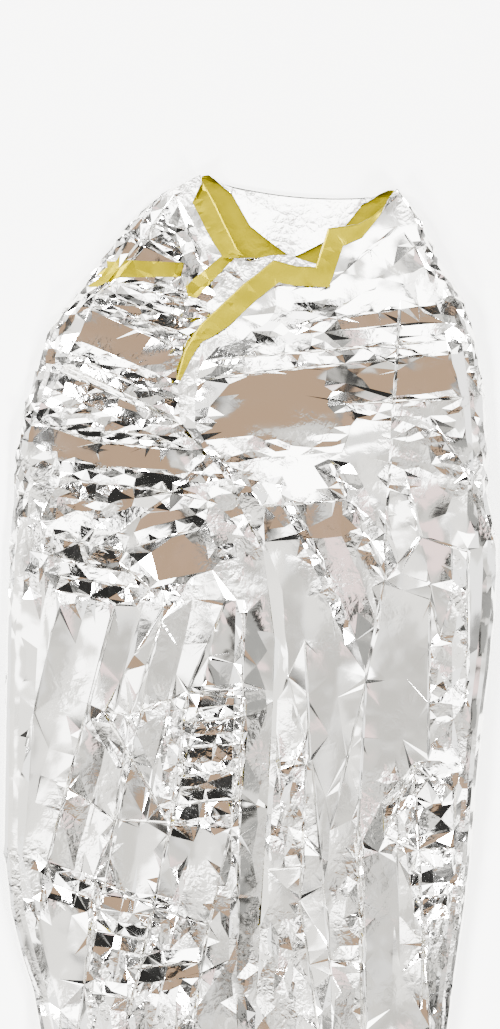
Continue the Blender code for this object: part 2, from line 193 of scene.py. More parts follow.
@dataclass(frozen=True)
class Folds:
    """Main folds of the two flaps, each a crest line with two faces that slope away from it.

    The first face lies above a crest that runs to the right, and right of one that runs down.
    Columns: from across and down, to across and down, height, width of the first face and of the
    second, and how crinkled each face is, from 0 to 1, or -1 where the zones say that.

    Args:
        most_relief: the height that folds on top of each other don't pass, in mm.
        end_length: the length over which a fold runs out at each end, in mm.
        left: the left flap's folds.
        right: the right flap's folds.
    """

    most_relief: float = 28.0
    end_length: float = 14.0
    left: Table = (
        (112, 231, 180, 262, 7, 8, 24, 0.7, 0.12),
        (138, 210, 180, 248, 6, 8, 13, 0.7, 0.4),
        (174, 194, 200, 262, 5, 9, 12, 0.5, 0.5),
        (118, 283, 186, 300, 4, 8, 11, 0.6, 0.5),
        (96, 294, 182, 318, 7, 13, 13, 0.45, 0.45),
        (72, 300, 174, 346, 11, 14, 40, 0.6, 0.06),
        (56, 350, 178, 402, 7, 18, 14, 0.5, 0.45),
        (60, 371, 180, 424, 9, 6, 20, 0.1, 0.4),
        (28, 418, 100, 443, 7, 12, 22, 0.6, 0.08),
        (100, 443, 192, 450, 7, 12, 22, 0.6, 0.08),
        (60, 478, 172, 492, 9, 17, 19, 0.25, 0.4),
        (88, 556, 172, 494, 10, 16, 36, 0.35, 0.08),
        (138, 546, 200, 528, 11, 14, 44, 0.5, 0.08),
        (52, 536, 126, 552, 9, 16, 20, 0.4, 0.4),
        (58, 575, 128, 587, 8, 13, 15, 0.45, 0.45),
        (120, 562, 150, 590, 5, 12, 14, 0.5, 0.5),
        (244, 600, 237, 960, 10, 300, 8, 0.15, 0.6),
        (106, 712, 160, 808, 4.3, 14, 18, 0.1, 0.2),
        (188, 693, 244, 689, 4, 6, 15, 0.2, 0.05),
        (98, 893, 172, 905, 4, 6, 15, 0.3, 0.1),
        (183, 722, 246, 716, 7, 12, 16, 0.75, 0.45),
        (181, 748, 244, 742, 7, 12, 16, 0.4, 0.8),
        (178, 776, 242, 770, 7, 12, 16, 0.8, 0.5),
        (176, 804, 240, 798, 7, 12, 16, 0.45, 0.75),
        (52, 884, 92, 898, 7, 12, 15, 0.4, 0.45),
        (92, 930, 150, 940, 7, 12, 16, 0.35, 0.35),
        (126, 968, 200, 962, 7, 14, 16, 0.35, 0.35),
        (92, 992, 128, 998, 6, 12, 14, 0.35, 0.35),
        (114, 606, 47, 863, 2.5, 28, 26, -1, -1),
        (162, 612, 84, 985, 2.5, 28, 26, -1, -1),
        (222, 606, 128, 1015, 3, 26, 30, -1, -1),
        (60, 1010, 78, 1440, 9, 26, 30, -1, -1),
        (110, 1010, 128, 1440, 10, 30, 24, -1, -1),
        (176, 1000, 186, 1440, 9, 26, 32, -1, -1),
    )
    right: Table = (
        (240, 290, 310, 284, 4, 8, 18, 0.2, 0.1),
        (318, 292, 398, 226, 4, 20, 26, 0.25, 0.25),
        (404, 232, 446, 300, 5, 18, 26, 0.15, 0.25),
        (296, 325, 459, 300, 9, 34, 30, 0.3, 0.1),
        (204, 361, 446, 341, 2, 18, 20, 0.2, 0.4),
        (198, 379, 345, 364, 16, 58, 62, 0.35, 0.08),
        (345, 364, 462, 352, 10, 34, 38, 0.25, 0.08),
        (262, 506, 345, 500, 9, 48, 36, 0.3, 0.25),
        (328, 459, 386, 580, 4, 16, 16, 0.3, 0.3),
        (292, 500, 356, 640, 5, 26, 12, 0.2, 0.6),
        (430, 416, 482, 498, 4, 14, 18, 0.25, 0.4),
        (404, 470, 440, 640, 3, 28, 28, -1, -1),
        (467, 548, 469, 830, 5, 12, 16, 0.05, 0.7),
        (305, 640, 310, 760, 3, 30, 30, -1, -1),
        (312, 760, 334, 1010, 3, 34, 36, -1, -1),
        (366, 676, 356, 860, 3, 40, 34, -1, -1),
        (358, 860, 362, 1030, 3, 40, 30, -1, -1),
        (386, 806, 418, 768, 6, 6, 14, 0.3, 0.45),
        (412, 782, 462, 772, 7, 12, 16, 0.4, 0.3),
        (410, 808, 464, 800, 7, 12, 15, 0.2, 0.3),
        (406, 836, 462, 828, 7, 12, 16, 0.3, 0.25),
        (408, 872, 456, 866, 8, 18, 18, 0.35, 0.3),
        (412, 898, 450, 894, 7, 12, 16, 0.35, 0.3),
        (424, 926, 420, 1010, 4, 30, 30, -1, -1),
        (322, 1010, 312, 1440, 10, 30, 28, -1, -1),
        (392, 1030, 384, 1440, 10, 28, 34, -1, -1),
    )


@dataclass(frozen=True)
class Crumple:
    """How finely the film is crumpled in each zone, and the long sharp creases.

    Args:
        finest: the least distance between facets' corners, in mm.
        open_zone: how crinkled it is where no zone is named.
        coarse_spacing: distance between the corners of smooth film's facets, in mm.
        fine_spacing: the same for fully crinkled film.
        spacing_power: how fast the facets get smaller as the film gets more crinkled.
        least_slope: slope of smooth film's facets.
        most_slope: the same for fully crinkled film.
        slope_power: how fast the facets get steeper as the film gets more crinkled.
        zones: across from, to, down from, to, and how crinkled, from 0 to 1.
        left_creases: from across and down, to across and down, and lift at each end in mm, on the
            left flap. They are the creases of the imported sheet.
        right_creases: the same on the right flap.
    """

    finest: float = 3.6
    open_zone: float = 0.35
    coarse_spacing: float = 24.0
    fine_spacing: float = 5.5
    spacing_power: float = 0.8
    least_slope: float = 0.015
    most_slope: float = 0.40
    slope_power: float = 0.7
    zones: Table = (
        (60, 262, 170, 300, 0.6), (0, 60, 320, 420, 0.25), (60, 240, 300, 500, 0.6),
        (0, 60, 420, 520, 0.4), (60, 262, 500, 560, 0.6), (28, 60, 520, 590, 0.7),
        (60, 150, 560, 606, 0.9), (150, 245, 575, 616, 0.7), (0, 200, 606, 720, 0.0),
        (200, 275, 580, 680, 0.15), (104, 190, 700, 722, 0.5), (0, 62, 700, 860, 0.02),
        (62, 118, 730, 800, 0.25), (118, 160, 720, 830, 0.12), (140, 172, 720, 815, 0.5),
        (160, 188, 690, 830, 0.9), (182, 243, 712, 828, 1.0), (243, 275, 640, 900, 0.35),
        (55, 115, 800, 880, 0.25), (115, 172, 820, 870, 0.1), (172, 240, 828, 880, 0.05),
        (172, 235, 868, 906, 0.7), (0, 48, 850, 912, 0.6), (46, 94, 878, 916, 0.9),
        (46, 90, 910, 1029, 0.02), (88, 130, 890, 1029, 0.85), (100, 175, 890, 918, 0.4),
        (126, 205, 916, 1029, 0.8), (200, 262, 900, 1029, 0.5),
        (184, 240, 340, 470, 0.55), (240, 460, 290, 350, 0.3), (344, 478, 420, 556, 0.2),
        (262, 345, 452, 560, 0.45), (262, 340, 545, 640, 0.15), (330, 388, 560, 640, 0.08),
        (386, 456, 530, 700, 0.03), (452, 470, 560, 760, 0.85), (430, 470, 640, 770, 0.7),
        (470, 500, 540, 1029, 0.0), (268, 310, 640, 750, 0.06), (268, 306, 750, 860, 0.8),
        (306, 366, 620, 830, 0.05), (366, 430, 620, 760, 0.02), (384, 420, 770, 850, 0.9),
        (416, 462, 762, 925, 1.0), (418, 444, 925, 960, 0.8), (330, 366, 866, 965, 0.55),
        (362, 420, 850, 1029, 0.1), (268, 306, 850, 905, 0.1), (262, 312, 905, 1029, 0.6),
        (306, 334, 830, 1029, 0.05), (0, 500, 1029, 1454, 0.2),
    )
    left_creases: Table = (
        (60, 606, 20, 770, 5, 3), (20, 770, 12, 860, 3, 5),
        (115, 606, 68, 787, 2, 6), (68, 787, 47, 863, 6, 3), (47, 863, 34, 941, 3, 7),
        (34, 941, 40, 1029, 7, 4),
        (164, 606, 104, 711, 5, 7), (162, 620, 130, 716, 3, 4), (130, 716, 115, 820, 4, 3),
        (115, 820, 94, 878, 3, 6), (94, 878, 84, 985, 6, 3), (84, 985, 78, 1029, 3, 5),
        (226, 600, 188, 692, 6, 6), (188, 692, 170, 823, 6, 5), (170, 823, 154, 907, 5, 7),
        (154, 907, 128, 1020, 7, 3),
        (246, 698, 231, 828, 3, 5), (231, 828, 209, 925, 5, 5), (209, 925, 193, 1020, 5, 3),
        (104, 711, 130, 716, 7, 4), (130, 716, 188, 692, 4, 6), (188, 692, 246, 698, 6, 3),
        (104, 711, 158, 806, 7, 2), (158, 806, 170, 823, 2, 5),
        (20, 770, 68, 787, 3, 6), (68, 787, 115, 820, 6, 3), (115, 820, 170, 823, 3, 5),
        (170, 823, 231, 828, 5, 5), (47, 863, 94, 878, 3, 6), (94, 878, 154, 907, 6, 7),
        (154, 907, 209, 925, 7, 5),
    )
    right_creases: Table = (
        (271, 620, 305, 740, 4, 2), (305, 740, 296, 760, 2, 5), (365, 683, 330, 830, 2, 4),
        (384, 580, 365, 683, 2, 2), (386, 580, 420, 536, 2, 6), (420, 536, 470, 552, 6, 4),
        (430, 600, 428, 760, 2, 3), (414, 762, 384, 836, 5, 2), (414, 762, 418, 850, 5, 7),
        (414, 762, 462, 796, 5, 6), (384, 836, 418, 850, 2, 7), (418, 850, 462, 846, 7, 2),
        (418, 850, 424, 960, 7, 3), (462, 846, 446, 930, 2, 5), (424, 960, 430, 1029, 3, 4),
        (362, 840, 366, 1029, 5, 3), (330, 960, 362, 960, 2, 6), (268, 870, 306, 866, 3, 5),
        (400, 300, 384, 560, 4, 4), (460, 310, 478, 420, 4, 4), (350, 404, 462, 398, 1, 5),
        (268, 770, 306, 764, 3, 3), (306, 764, 300, 900, 3, 2), (300, 900, 318, 1029, 2, 4),
    )

    def crinkle_at(self, across: np.ndarray, down: np.ndarray, folds: Table) -> np.ndarray:
        """How crinkled the film is at these places, from 0 to 1: by zone, and by face on a fold.

        Args:
            across: places across, in mm.
            down: places down, in mm.
            folds: the flap's main folds.

        Returns:
            One number per place.
        """
        amount = np.full(across.shape, self.open_zone)
        for x0, x1, y0, y1, crinkled in self.zones:
            inside = (across >= x0) & (across < x1) & (down >= y0) & (down < y1)
            amount[inside] = crinkled
        for x0, y0, x1, y1, _, first, second, first_crinkled, second_crinkled in folds:
            along, aside, _ = beside(across, down, x0, y0, x1, y1)
            beside_it = (along > 0.0) & (along < 1.0)
            if first_crinkled >= 0.0:
                amount[beside_it & (aside >= 0.0) & (aside < first)] = first_crinkled
            if second_crinkled >= 0.0:
                amount[beside_it & (aside < 0.0) & (aside > -second)] = second_crinkled
        return amount

    def spacing_and_slope(
        self, across: np.ndarray, down: np.ndarray, folds: Table
    ) -> tuple[np.ndarray, np.ndarray]:
        """Facet spacing in mm and facet slope at these places."""
        amount = self.crinkle_at(across, down, folds)
        finer_by = (self.fine_spacing - self.coarse_spacing) * amount**self.spacing_power
        steeper_by = (self.most_slope - self.least_slope) * amount**self.slope_power
        return self.coarse_spacing + finer_by, self.least_slope + steeper_by


def beside(
    across: np.ndarray, down: np.ndarray, x0: float, y0: float, x1: float, y1: float
) -> tuple[np.ndarray, np.ndarray, float]:
    """Where places lie beside a straight line.

    Args:
        across: places across, in mm.
        down: places down, in mm.
        x0: across of the line's start.
        y0: down of its start.
        x1: across of its end.
        y1: down of its end.

    Returns:
        Share of the way along the line, distance to its side in mm, and the line's length in mm.
    """
    length = math.hypot(x1 - x0, y1 - y0)
    along = ((across - x0) * (x1 - x0) + (down - y0) * (y1 - y0)) / length**2
    aside = ((across - x0) * (y1 - y0) - (down - y0) * (x1 - x0)) / length
    return along, aside, length


def across_at(table: Table, down: np.ndarray) -> np.ndarray:
    """Across at these downs, from a table of down and across."""
    rows = np.array(table, float)
    return np.interp(down, rows[:, 0], rows[:, 1])


def finer(table: Table, step: float) -> np.ndarray:
    """Rows of a table with more rows between, so that no two are further apart than a step.

    Args:
        table: rows whose first two columns are a place in plan.
        step: the most distance between two rows, in mm.

    Returns:
        The rows, as an array.
    """
    rows = np.array(table, float)
    made = [rows[:1]]
    for start, end in zip(rows[:-1], rows[1:]):
        count = max(1, math.ceil(math.hypot(*(end - start)[:2]) / step))
        shares = np.linspace(0.0, 1.0, count + 1)[1:, None]
        made.append(start + (end - start) * shares)
    return np.concatenate(made)


def along_line(start: np.ndarray, end: np.ndarray, count: int) -> np.ndarray:
    """Even places along a straight line, both ends too."""
    return start + (end - start) * np.linspace(0, 1, count)[:, None]


def closed_line(loop: np.ndarray) -> np.ndarray:
    """A loop's corners with the first one again at the end."""
    return np.vstack([loop, loop[:1]])


def distance_to_line(points: np.ndarray, line: np.ndarray) -> np.ndarray:
    """Distance in plan from each point to a line of joined points."""
    nearest = np.full(points.shape[:-1], np.inf)
    for start, end in zip(line[:-1], line[1:]):
        along = end - start
        share = np.clip(((points - start) @ along) / max(along @ along, 1e-9), 0.0, 1.0)
        foot = start + share[..., None] * along
        nearest = np.minimum(nearest, np.linalg.norm(points - foot, axis=-1))
    return nearest


def inside_loop(points: np.ndarray, loop: np.ndarray) -> np.ndarray:
    """Which points lie inside a closed loop.

    Args:
        points: places in plan, one a row.
        loop: the loop's corners in order.

    Returns:
        True for each point that is inside.
    """
    inside = np.zeros(len(points), bool)
    x, y = points[:, 0], points[:, 1]
    for (x0, y0), (x1, y1) in zip(loop, np.roll(loop, -1, axis=0)):
        if y0 == y1:
            continue
        spans = (y0 > y) != (y1 > y)
        inside ^= spans & (x < (x1 - x0) * (y - y0) / (y1 - y0) + x0)
    return inside


def ridges(across: np.ndarray, down: np.ndarray, rows: Table, folds: Folds) -> np.ndarray:
    """Height of the main folds at these places: two flat faces each, and tapered ends.

    Args:
        across: places across, in mm.
        down: places down, in mm.
        rows: one flap's folds.
        folds: how high they get and how they end.

    Returns:
        Heights in mm.
    """
    total = np.zeros_like(across)
    for x0, y0, x1, y1, height, first, second, _, _ in rows:
        along, aside, length = beside(across, down, x0, y0, x1, y1)
        width = np.where(aside >= 0.0, first, second)
        inward = np.minimum(along, 1.0 - along) * length
        ends = np.clip(inward / folds.end_length + 0.5, 0.0, 1.0)
        total += height * ends * np.clip(1.0 - np.abs(aside) / width, 0.0, 1.0)
    return folds.most_relief * np.tanh(total / folds.most_relief)


def unit(vectors: np.ndarray) -> np.ndarray:
    """Vectors of length one in the same directions."""
    return vectors / np.maximum(np.linalg.norm(vectors, axis=-1, keepdims=True), 1e-12)


def stack(across: np.ndarray, down: np.ndarray, height: np.ndarray) -> np.ndarray:
    """Places from their three numbers."""
    return np.stack([across, down, height], axis=-1)


@dataclass(frozen=True)
class Stretch:
    """How much longer than wide the facets are: wide ones on the chest, tall ones lower down.

    Args:
        stops: rows of down and stretch. Over 1 the facets are wide, and under 1 they are tall.
    """

    stops: Table = (
        (150, 1.0), (280, 1.2), (330, 2.0), (460, 2.0), (520, 1.2), (600, 0.9), (680, 0.7),
        (1500, 0.7),
    )

    def table(self) -> tuple[np.ndarray, np.ndarray]:
        """Down, and the stretched down that goes with it."""
        down = np.arange(self.stops[0][0], self.stops[-1][0] + 1.0)
        rate = across_at(self.stops, down)
        return down, np.concatenate([[0.0], np.cumsum((rate[1:] + rate[:-1]) / 2)])

    def bend(self, places: np.ndarray) -> np.ndarray:
        """Plan places to stretched places."""
        down, stretched = self.table()
        return np.stack([places[:, 0], np.interp(places[:, 1], down, stretched)], axis=1)

    def unbend(self, places: np.ndarray) -> np.ndarray:
        """Stretched places to plan places."""
        down, stretched = self.table()
        return np.stack([places[:, 0], np.interp(places[:, 1], stretched, down)], axis=1)


@dataclass
class Facets:
    """A flap cut into flat facets: coarse panels between creases, then finer crumples.

    All its work is done on stretched places, so that the facets come out wide or tall.

    Args:
        crumple: zones and creases.
        creases: the creases of this flap.
        folds: the main folds of this flap.
        seed: start of its random numbers.
        outlines: loops that the facets keep to.
        panel_factor: size of a coarse panel, in facets.
        least_panel: smallest coarse panel, in mm.
        most_panel: largest coarse panel, in mm.
        panel_lift: most height of a coarse panel's corner, in mm.
        panel_slope: share of the zone's slope that a coarse panel has.
        longest_edge: the longest edge of a panel that becomes a crease, in mm.
        groove_half_width: half width of a crease's groove, in mm.
        groove_depth: its depth, in mm.
        groove_step: distance between the corners beside a groove, in mm.
        rest_lift: height of a coarse panel's corner where nothing else says it, in mm.
        line_clear: how far inside the flap's edge a crease ends, in mm.
        outline_clear: the same for an outline.
        most_rim_clear: how far inside the flap's edge a large panel's corner stays, in mm.
        least_piece: the shortest piece that a crease is cut into, in mm.
        crease_waver: how far a crease strays aside, in mm.
        try_step: least distance between the places tried for a facet's corner, in mm.
        reach_varies: least and most share of the zone's spacing between two corners.
        most_jitter: most height of a fine facet's corner, in mm.
        widest_jittered: the facet size over which a corner's height grows no more, in mm.
        smooth_share: share of the zone's slope that smooth film's facets have.
        crinkled_share: what full crinkling adds to it.
        raster: cell size of the map that keeps corners apart, in mm.
        stretch: how wide or tall the facets are.
    """

    crumple: Crumple
    creases: Table
    folds: Table
    seed: int
    outlines: tuple[Table, ...] = ()
    panel_factor: float = 3.6
    least_panel: float = 20.0
    most_panel: float = 58.0
    panel_lift: float = 5.0
    panel_slope: float = 0.35
    longest_edge: float = 150.0
    groove_half_width: float = 1.5
    groove_depth: float = 1.3
    groove_step: float = 9.0
    rest_lift: float = 3.0
    line_clear: float = 3.0
    outline_clear: float = 2.5
    most_rim_clear: float = 9.0
    least_piece: float = 5.0
    crease_waver: float = 0.5
    try_step: float = 2.4
    reach_varies: tuple[float, float] = (0.7, 1.5)
    most_jitter: float = 2.4
    widest_jittered: float = 13.0
    smooth_share: float = 0.3
    crinkled_share: float = 0.15
    raster: float = 1.5
    stretch: Stretch = field(default_factory=Stretch)

    def zone_at(self, places: np.ndarray) -> tuple[np.ndarray, np.ndarray]:
        """Spacing and slope at stretched places."""
        plan = self.stretch.unbend(places)
        return self.crumple.spacing_and_slope(plan[:, 0], plan[:, 1], self.folds)

    def spread_out(
        self, tried: np.ndarray, reach: np.ndarray, kept_clear: list[np.ndarray]
    ) -> np.ndarray:
        """Keep places in the order tried, each with an empty space round it.

        Args:
            tried: places in plan.
            reach: radius of each place's space.
            kept_clear: lines or points that count as taken.

        Returns:
            The places that are kept.
        """
        low = tried.min(axis=0) - 2.0 * reach.max()
        high = tried.max(axis=0) + 2.0 * reach.max()
        size = np.ceil((high - low) / self.raster).astype(int) + 1
        taken = np.zeros(size, bool)
        for line in kept_clear:
            cells = ((line - low) / self.raster).astype(int)
            cells = cells[((cells >= 0) & (cells < size)).all(axis=1)]
            taken[cells[:, 0], cells[:, 1]] = True
        kept = []
        cells = ((tried - low) / self.raster).astype(int)
        spans = np.maximum((reach / self.raster).astype(int), 1)
        for index, ((x, y), span) in enumerate(zip(cells, spans)):
            part = taken[x - span // 2 : x + span // 2 + 1, y - span // 2 : y + span // 2 + 1]
            if part.any():
                continue
            taken[x - span // 2 : x + span // 2 + 1, y - span // 2 : y + span // 2 + 1] = True
            kept.append(index)
        return tried[kept]

    def scatter(
        self, loop: np.ndarray, factor: float, least: float, most: float, clear: list[np.ndarray]
    ) -> np.ndarray:
        """Random places inside a loop, as close together as the zones say.

        Args:
            loop: the loop's corners in order, in stretched places.
            factor: size of what is scattered, in facets.
            least: its least size, in mm.
            most: its most size, in mm.
            clear: lines that the places keep off.

        Returns:
            Stretched places.
        """
        rng = np.random.default_rng(self.seed + int(factor * 10))
        low, high = loop.min(axis=0), loop.max(axis=0)
        step = max(least * 0.5, self.try_step)
        columns, rows = np.arange(low[0], high[0], step), np.arange(low[1], high[1], step)
        across, down = np.meshgrid(columns, rows)
        tried = np.stack([across.ravel(), down.ravel()], axis=1)
        tried += rng.uniform(-0.5, 0.5, tried.shape) * step
        tried = tried[inside_loop(tried, loop)]
        rim_clear = min(0.4 * least + self.try_step / 2, self.most_rim_clear)
        tried = tried[distance_to_line(tried, closed_line(loop)) > rim_clear]
        tried = tried[rng.permutation(len(tried))]
        spacing, _ = self.zone_at(tried)
        reach = np.clip(spacing * factor, least, most) * rng.uniform(*self.reach_varies, len(tried))
        return self.spread_out(tried, reach, clear)

    def lines(self) -> list[tuple[float, ...]]:
        """Creases, then crests and feet of the folds, each with its lift at both ends."""
        found = list(self.creases)
        for x0, y0, x1, y1, _, first, second, *_ in self.folds:
            length = math.hypot(x1 - x0, y1 - y0)
            aside = ((y1 - y0) / length, -(x1 - x0) / length)
            for shift in (0.0, first, -second):
                dx, dy = aside[0] * shift, aside[1] * shift
                found.append((x0 + dx, y0 + dy, x1 + dx, y1 + dy, self.rest_lift, self.rest_lift))
        return found

    def line_corners(
        self, loop: np.ndarray
    ) -> tuple[list[tuple[float, float]], list[float], list[tuple[int, int]]]:
        """Panel corners along the creases and folds, their heights, and the edges between them."""
        ends, lifts, edges = [], [], []
        for x0, y0, x1, y1, lift0, lift1 in self.lines():
            start, end = self.stretch.bend(np.array([(x0, y0), (x1, y1)], float))
            count = max(1, round(np.linalg.norm(end - start) / (2.2 * self.least_panel)))
            line = along_line(start, end, count + 1)
            good = inside_loop(line, loop)
            good &= distance_to_line(line, closed_line(loop)) > self.line_clear
            joined = range(len(ends), len(ends) + good.sum() - 1)
            edges.extend((index, index + 1) for index in joined)
            ends.extend(tuple(point) for point in line[good])
            lifts.extend(np.linspace(lift0, lift1, count + 1)[good].tolist())
        return ends, lifts, edges

    def coarse_net(self, loop: np.ndarray) -> None:
        """Make the coarse panels: their corners, heights, edges and triangles."""
        rng = np.random.default_rng(self.seed + 3)
        ends, lifts, edges = self.line_corners(loop)
        drawn = [along_line(np.array(ends[a]), np.array(ends[b]), 30) for a, b in edges]
        free = self.scatter(loop, self.panel_factor, self.least_panel, self.most_panel, drawn)
        _, slope = self.zone_at(free)
        most = np.minimum(self.panel_lift, slope * self.least_panel * self.panel_slope)
        lifts.extend((self.rest_lift + rng.uniform(-1.0, 1.0, len(free)) * most).tolist())
        points = ends + [tuple(point) for point in free]
        made = delaunay_2d_cdt([Vector(point) for point in points], edges, [], 0, 1.5)
        self.corners = np.array([tuple(point) for point in made[0]])
        self.lifts = np.array([
            np.mean([lifts[old] for old in olds]) if olds else np.nan for olds in made[3]
        ])
        for corner in np.nonzero(np.isnan(self.lifts))[0]:
            near = [b if a == corner else a for a, b in made[1] if corner in (a, b)]
            around = [self.lifts[other] for other in near]
            self.lifts[corner] = np.nanmean(around + [self.rest_lift])
        self.panels = [tuple(face) for face in made[2] if len(face) == 3]
        self.edges = self.edges_inside(made[1], loop)

    def edges_inside(self, edges: list[tuple[int, int]], loop: np.ndarray) -> list[tuple[int, int]]:
        """The panel edges that are not too long and lie within a loop from end to end."""
        shares = (0.02, 0.25, 0.5, 0.75, 0.98)
        short = [
            (a, b) for a, b in edges
            if np.linalg.norm(self.corners[a] - self.corners[b]) < self.longest_edge
        ]
        checks = np.array([
            self.corners[a] + (self.corners[b] - self.corners[a]) * share
            for a, b in short for share in shares
        ])
        good = inside_loop(checks, loop) & (distance_to_line(checks, closed_line(loop)) > 1.0)
        good = good.reshape(-1, len(shares)).all(axis=1)
        return [edge for edge, fine in zip(short, good) if fine]

    def triangulate(self, boundary: np.ndarray) -> tuple[np.ndarray, list[Triangle], list[int]]:
        """Facets that fill a loop.

        Args:
            boundary: corners of the loop in plan, in order.

        Returns:
            Places in plan, triangles, and the place's number for each corner of the loop.
        """
        boundary = self.stretch.bend(boundary)
        self.coarse_net(boundary)
        rng = np.random.default_rng(self.seed + 7)
        count = len(boundary)
        points = [tuple(point) for point in boundary]
        edges = [(index, (index + 1) % count) for index in range(count)]
        first = len(points)
        points.extend(tuple(point) for point in self.corners)
        lines = []
        for a, b in self.edges:
            start, end = self.corners[a], self.corners[b]
            spacing, _ = self.zone_at(((start + end) / 2)[None, :])
            piece = max(spacing[0], self.least_piece)
            pieces = max(1, round(np.linalg.norm(end - start) / piece))
            between = along_line(start, end, pieces + 1)[1:-1]
            between += rng.normal(0.0, self.crease_waver, between.shape)
            numbers = [first + a, *range(len(points), len(points) + len(between)), first + b]
            points.extend(tuple(point) for point in between)
            edges.extend(zip(numbers[:-1], numbers[1:]))
            lines.append(along_line(start, end, 60))
        for line in [*self.groove_edges(boundary), *self.outline_edges(boundary)]:
            numbers = range(len(points), len(points) + len(line))
            points.extend(tuple(point) for point in line)
            edges.extend(zip(numbers[:-1], numbers[1:]))
            lines.extend(along_line(start, end, 12) for start, end in zip(line[:-1], line[1:]))
        fine = self.scatter(boundary, 1.0, self.crumple.finest, 99.0, lines)
        points.extend(tuple(point) for point in fine)
        made = delaunay_2d_cdt([Vector(point) for point in points], edges, [], 1, 1e-3)
        places = np.array([tuple(point) for point in made[0]])
        number = {}
        for new, olds in enumerate(made[3]):
            for old in olds:
                number[old] = new
        triangles = [tuple(face) for face in made[2] if len(face) == 3]
        return self.stretch.unbend(places), triangles, [number[index] for index in range(count)]

    def groove_edges(self, boundary: np.ndarray) -> list[np.ndarray]:
        """Lines beside each crease, where its groove ends, in stretched places."""
        closed = closed_line(boundary)
        found = []
        for x0, y0, x1, y1 in [row[:4] for row in self.sharp_lines()]:
            length = math.hypot(x1 - x0, y1 - y0)
            aside = np.array([(y1 - y0) / length, -(x1 - x0) / length]) * self.groove_half_width
            shares = np.linspace(0.04, 0.96, max(3, round(length / self.groove_step)))[:, None]
            for side in (-1.0, 1.0):
                line = np.array([x0, y0]) + np.array([x1 - x0, y1 - y0]) * shares + aside * side
                line = self.stretch.bend(line)
                good = inside_loop(line, boundary)
                good &= distance_to_line(line, closed) > self.line_clear
                if good.sum() > 1:
                    found.append(line[good])
        return found

    def outline_edges(self, boundary: np.ndarray) -> list[np.ndarray]:
        """Outlines that the facets keep to, in stretched places."""
        closed = closed_line(boundary)
        found = []
        for loop in self.outlines:
            line = closed_line(self.stretch.bend(finer((*loop, loop[0]), self.groove_step)[:-1]))
            good = inside_loop(line, boundary)
            good &= distance_to_line(line, closed) > self.outline_clear
            if good.all():
                found.append(line)
            elif good.sum() > 1:
                found.append(line[good])
        return found

    def sharp_lines(self) -> list[tuple[float, ...]]:
        """Creases and the crests of the folds."""
        return [*self.creases, *self.folds]

    def groove_heights(self, across: np.ndarray, down: np.ndarray) -> np.ndarray:
        """Depth of the grooves at these places. Every third line is a raised edge instead."""
        total = np.zeros(len(across))
        points = np.stack([across, down], axis=1)
        for number, row in enumerate(self.sharp_lines()):
            away = distance_to_line(points, np.array(row[:4], float).reshape(2, 2))
            signed = -self.groove_depth if number % 3 else self.groove_depth
            deeper = signed * np.clip(1.0 - away / self.groove_half_width, 0.0, 1.0)
            total = np.where(np.abs(deeper) > np.abs(total), deeper, total)
        return total

    def panel_heights(self, across: np.ndarray, down: np.ndarray) -> np.ndarray:
        """Height of the coarse panels at these places: flat between their corners."""
        heights = np.zeros(len(across))
        points = self.stretch.bend(np.stack([across, down], axis=1))
        for face in self.panels:
            a, b, c = (self.corners[corner] for corner in face)
            low = np.minimum(np.minimum(a, b), c) - 1e-6
            high = np.maximum(np.maximum(a, b), c) + 1e-6
            near = np.nonzero(((points >= low) & (points <= high)).all(axis=1))[0]
            matrix = np.array([b - a, c - a]).T
            if not len(near) or abs(np.linalg.det(matrix)) < 1e-9:
                continue
            shares = np.linalg.solve(matrix, (points[near] - a).T)
            within = (shares[0] >= -1e-6) & (shares[1] >= -1e-6) & (shares.sum(axis=0) <= 1 + 1e-6)
            lift = self.lifts[list(face)]
            value = lift[0] + shares[0] * (lift[1] - lift[0]) + shares[1] * (lift[2] - lift[0])
            heights[near[within]] = value[within]
        return heights

    def jitter(self, across: np.ndarray, down: np.ndarray) -> np.ndarray:
        """Random height of the fine facets' corners."""
        rng = np.random.default_rng(self.seed + 57)
        spacing, slope = self.crumple.spacing_and_slope(across, down, self.folds)
        crinkled = self.crumple.crinkle_at(across, down, self.folds)
        share = self.smooth_share + self.crinkled_share * crinkled**2
        reach = np.minimum(spacing, self.widest_jittered)
        size = rng.normal(0.0, 1.0, len(across)) * reach * slope * share
        return np.clip(size, -self.most_jitter, self.most_jitter)


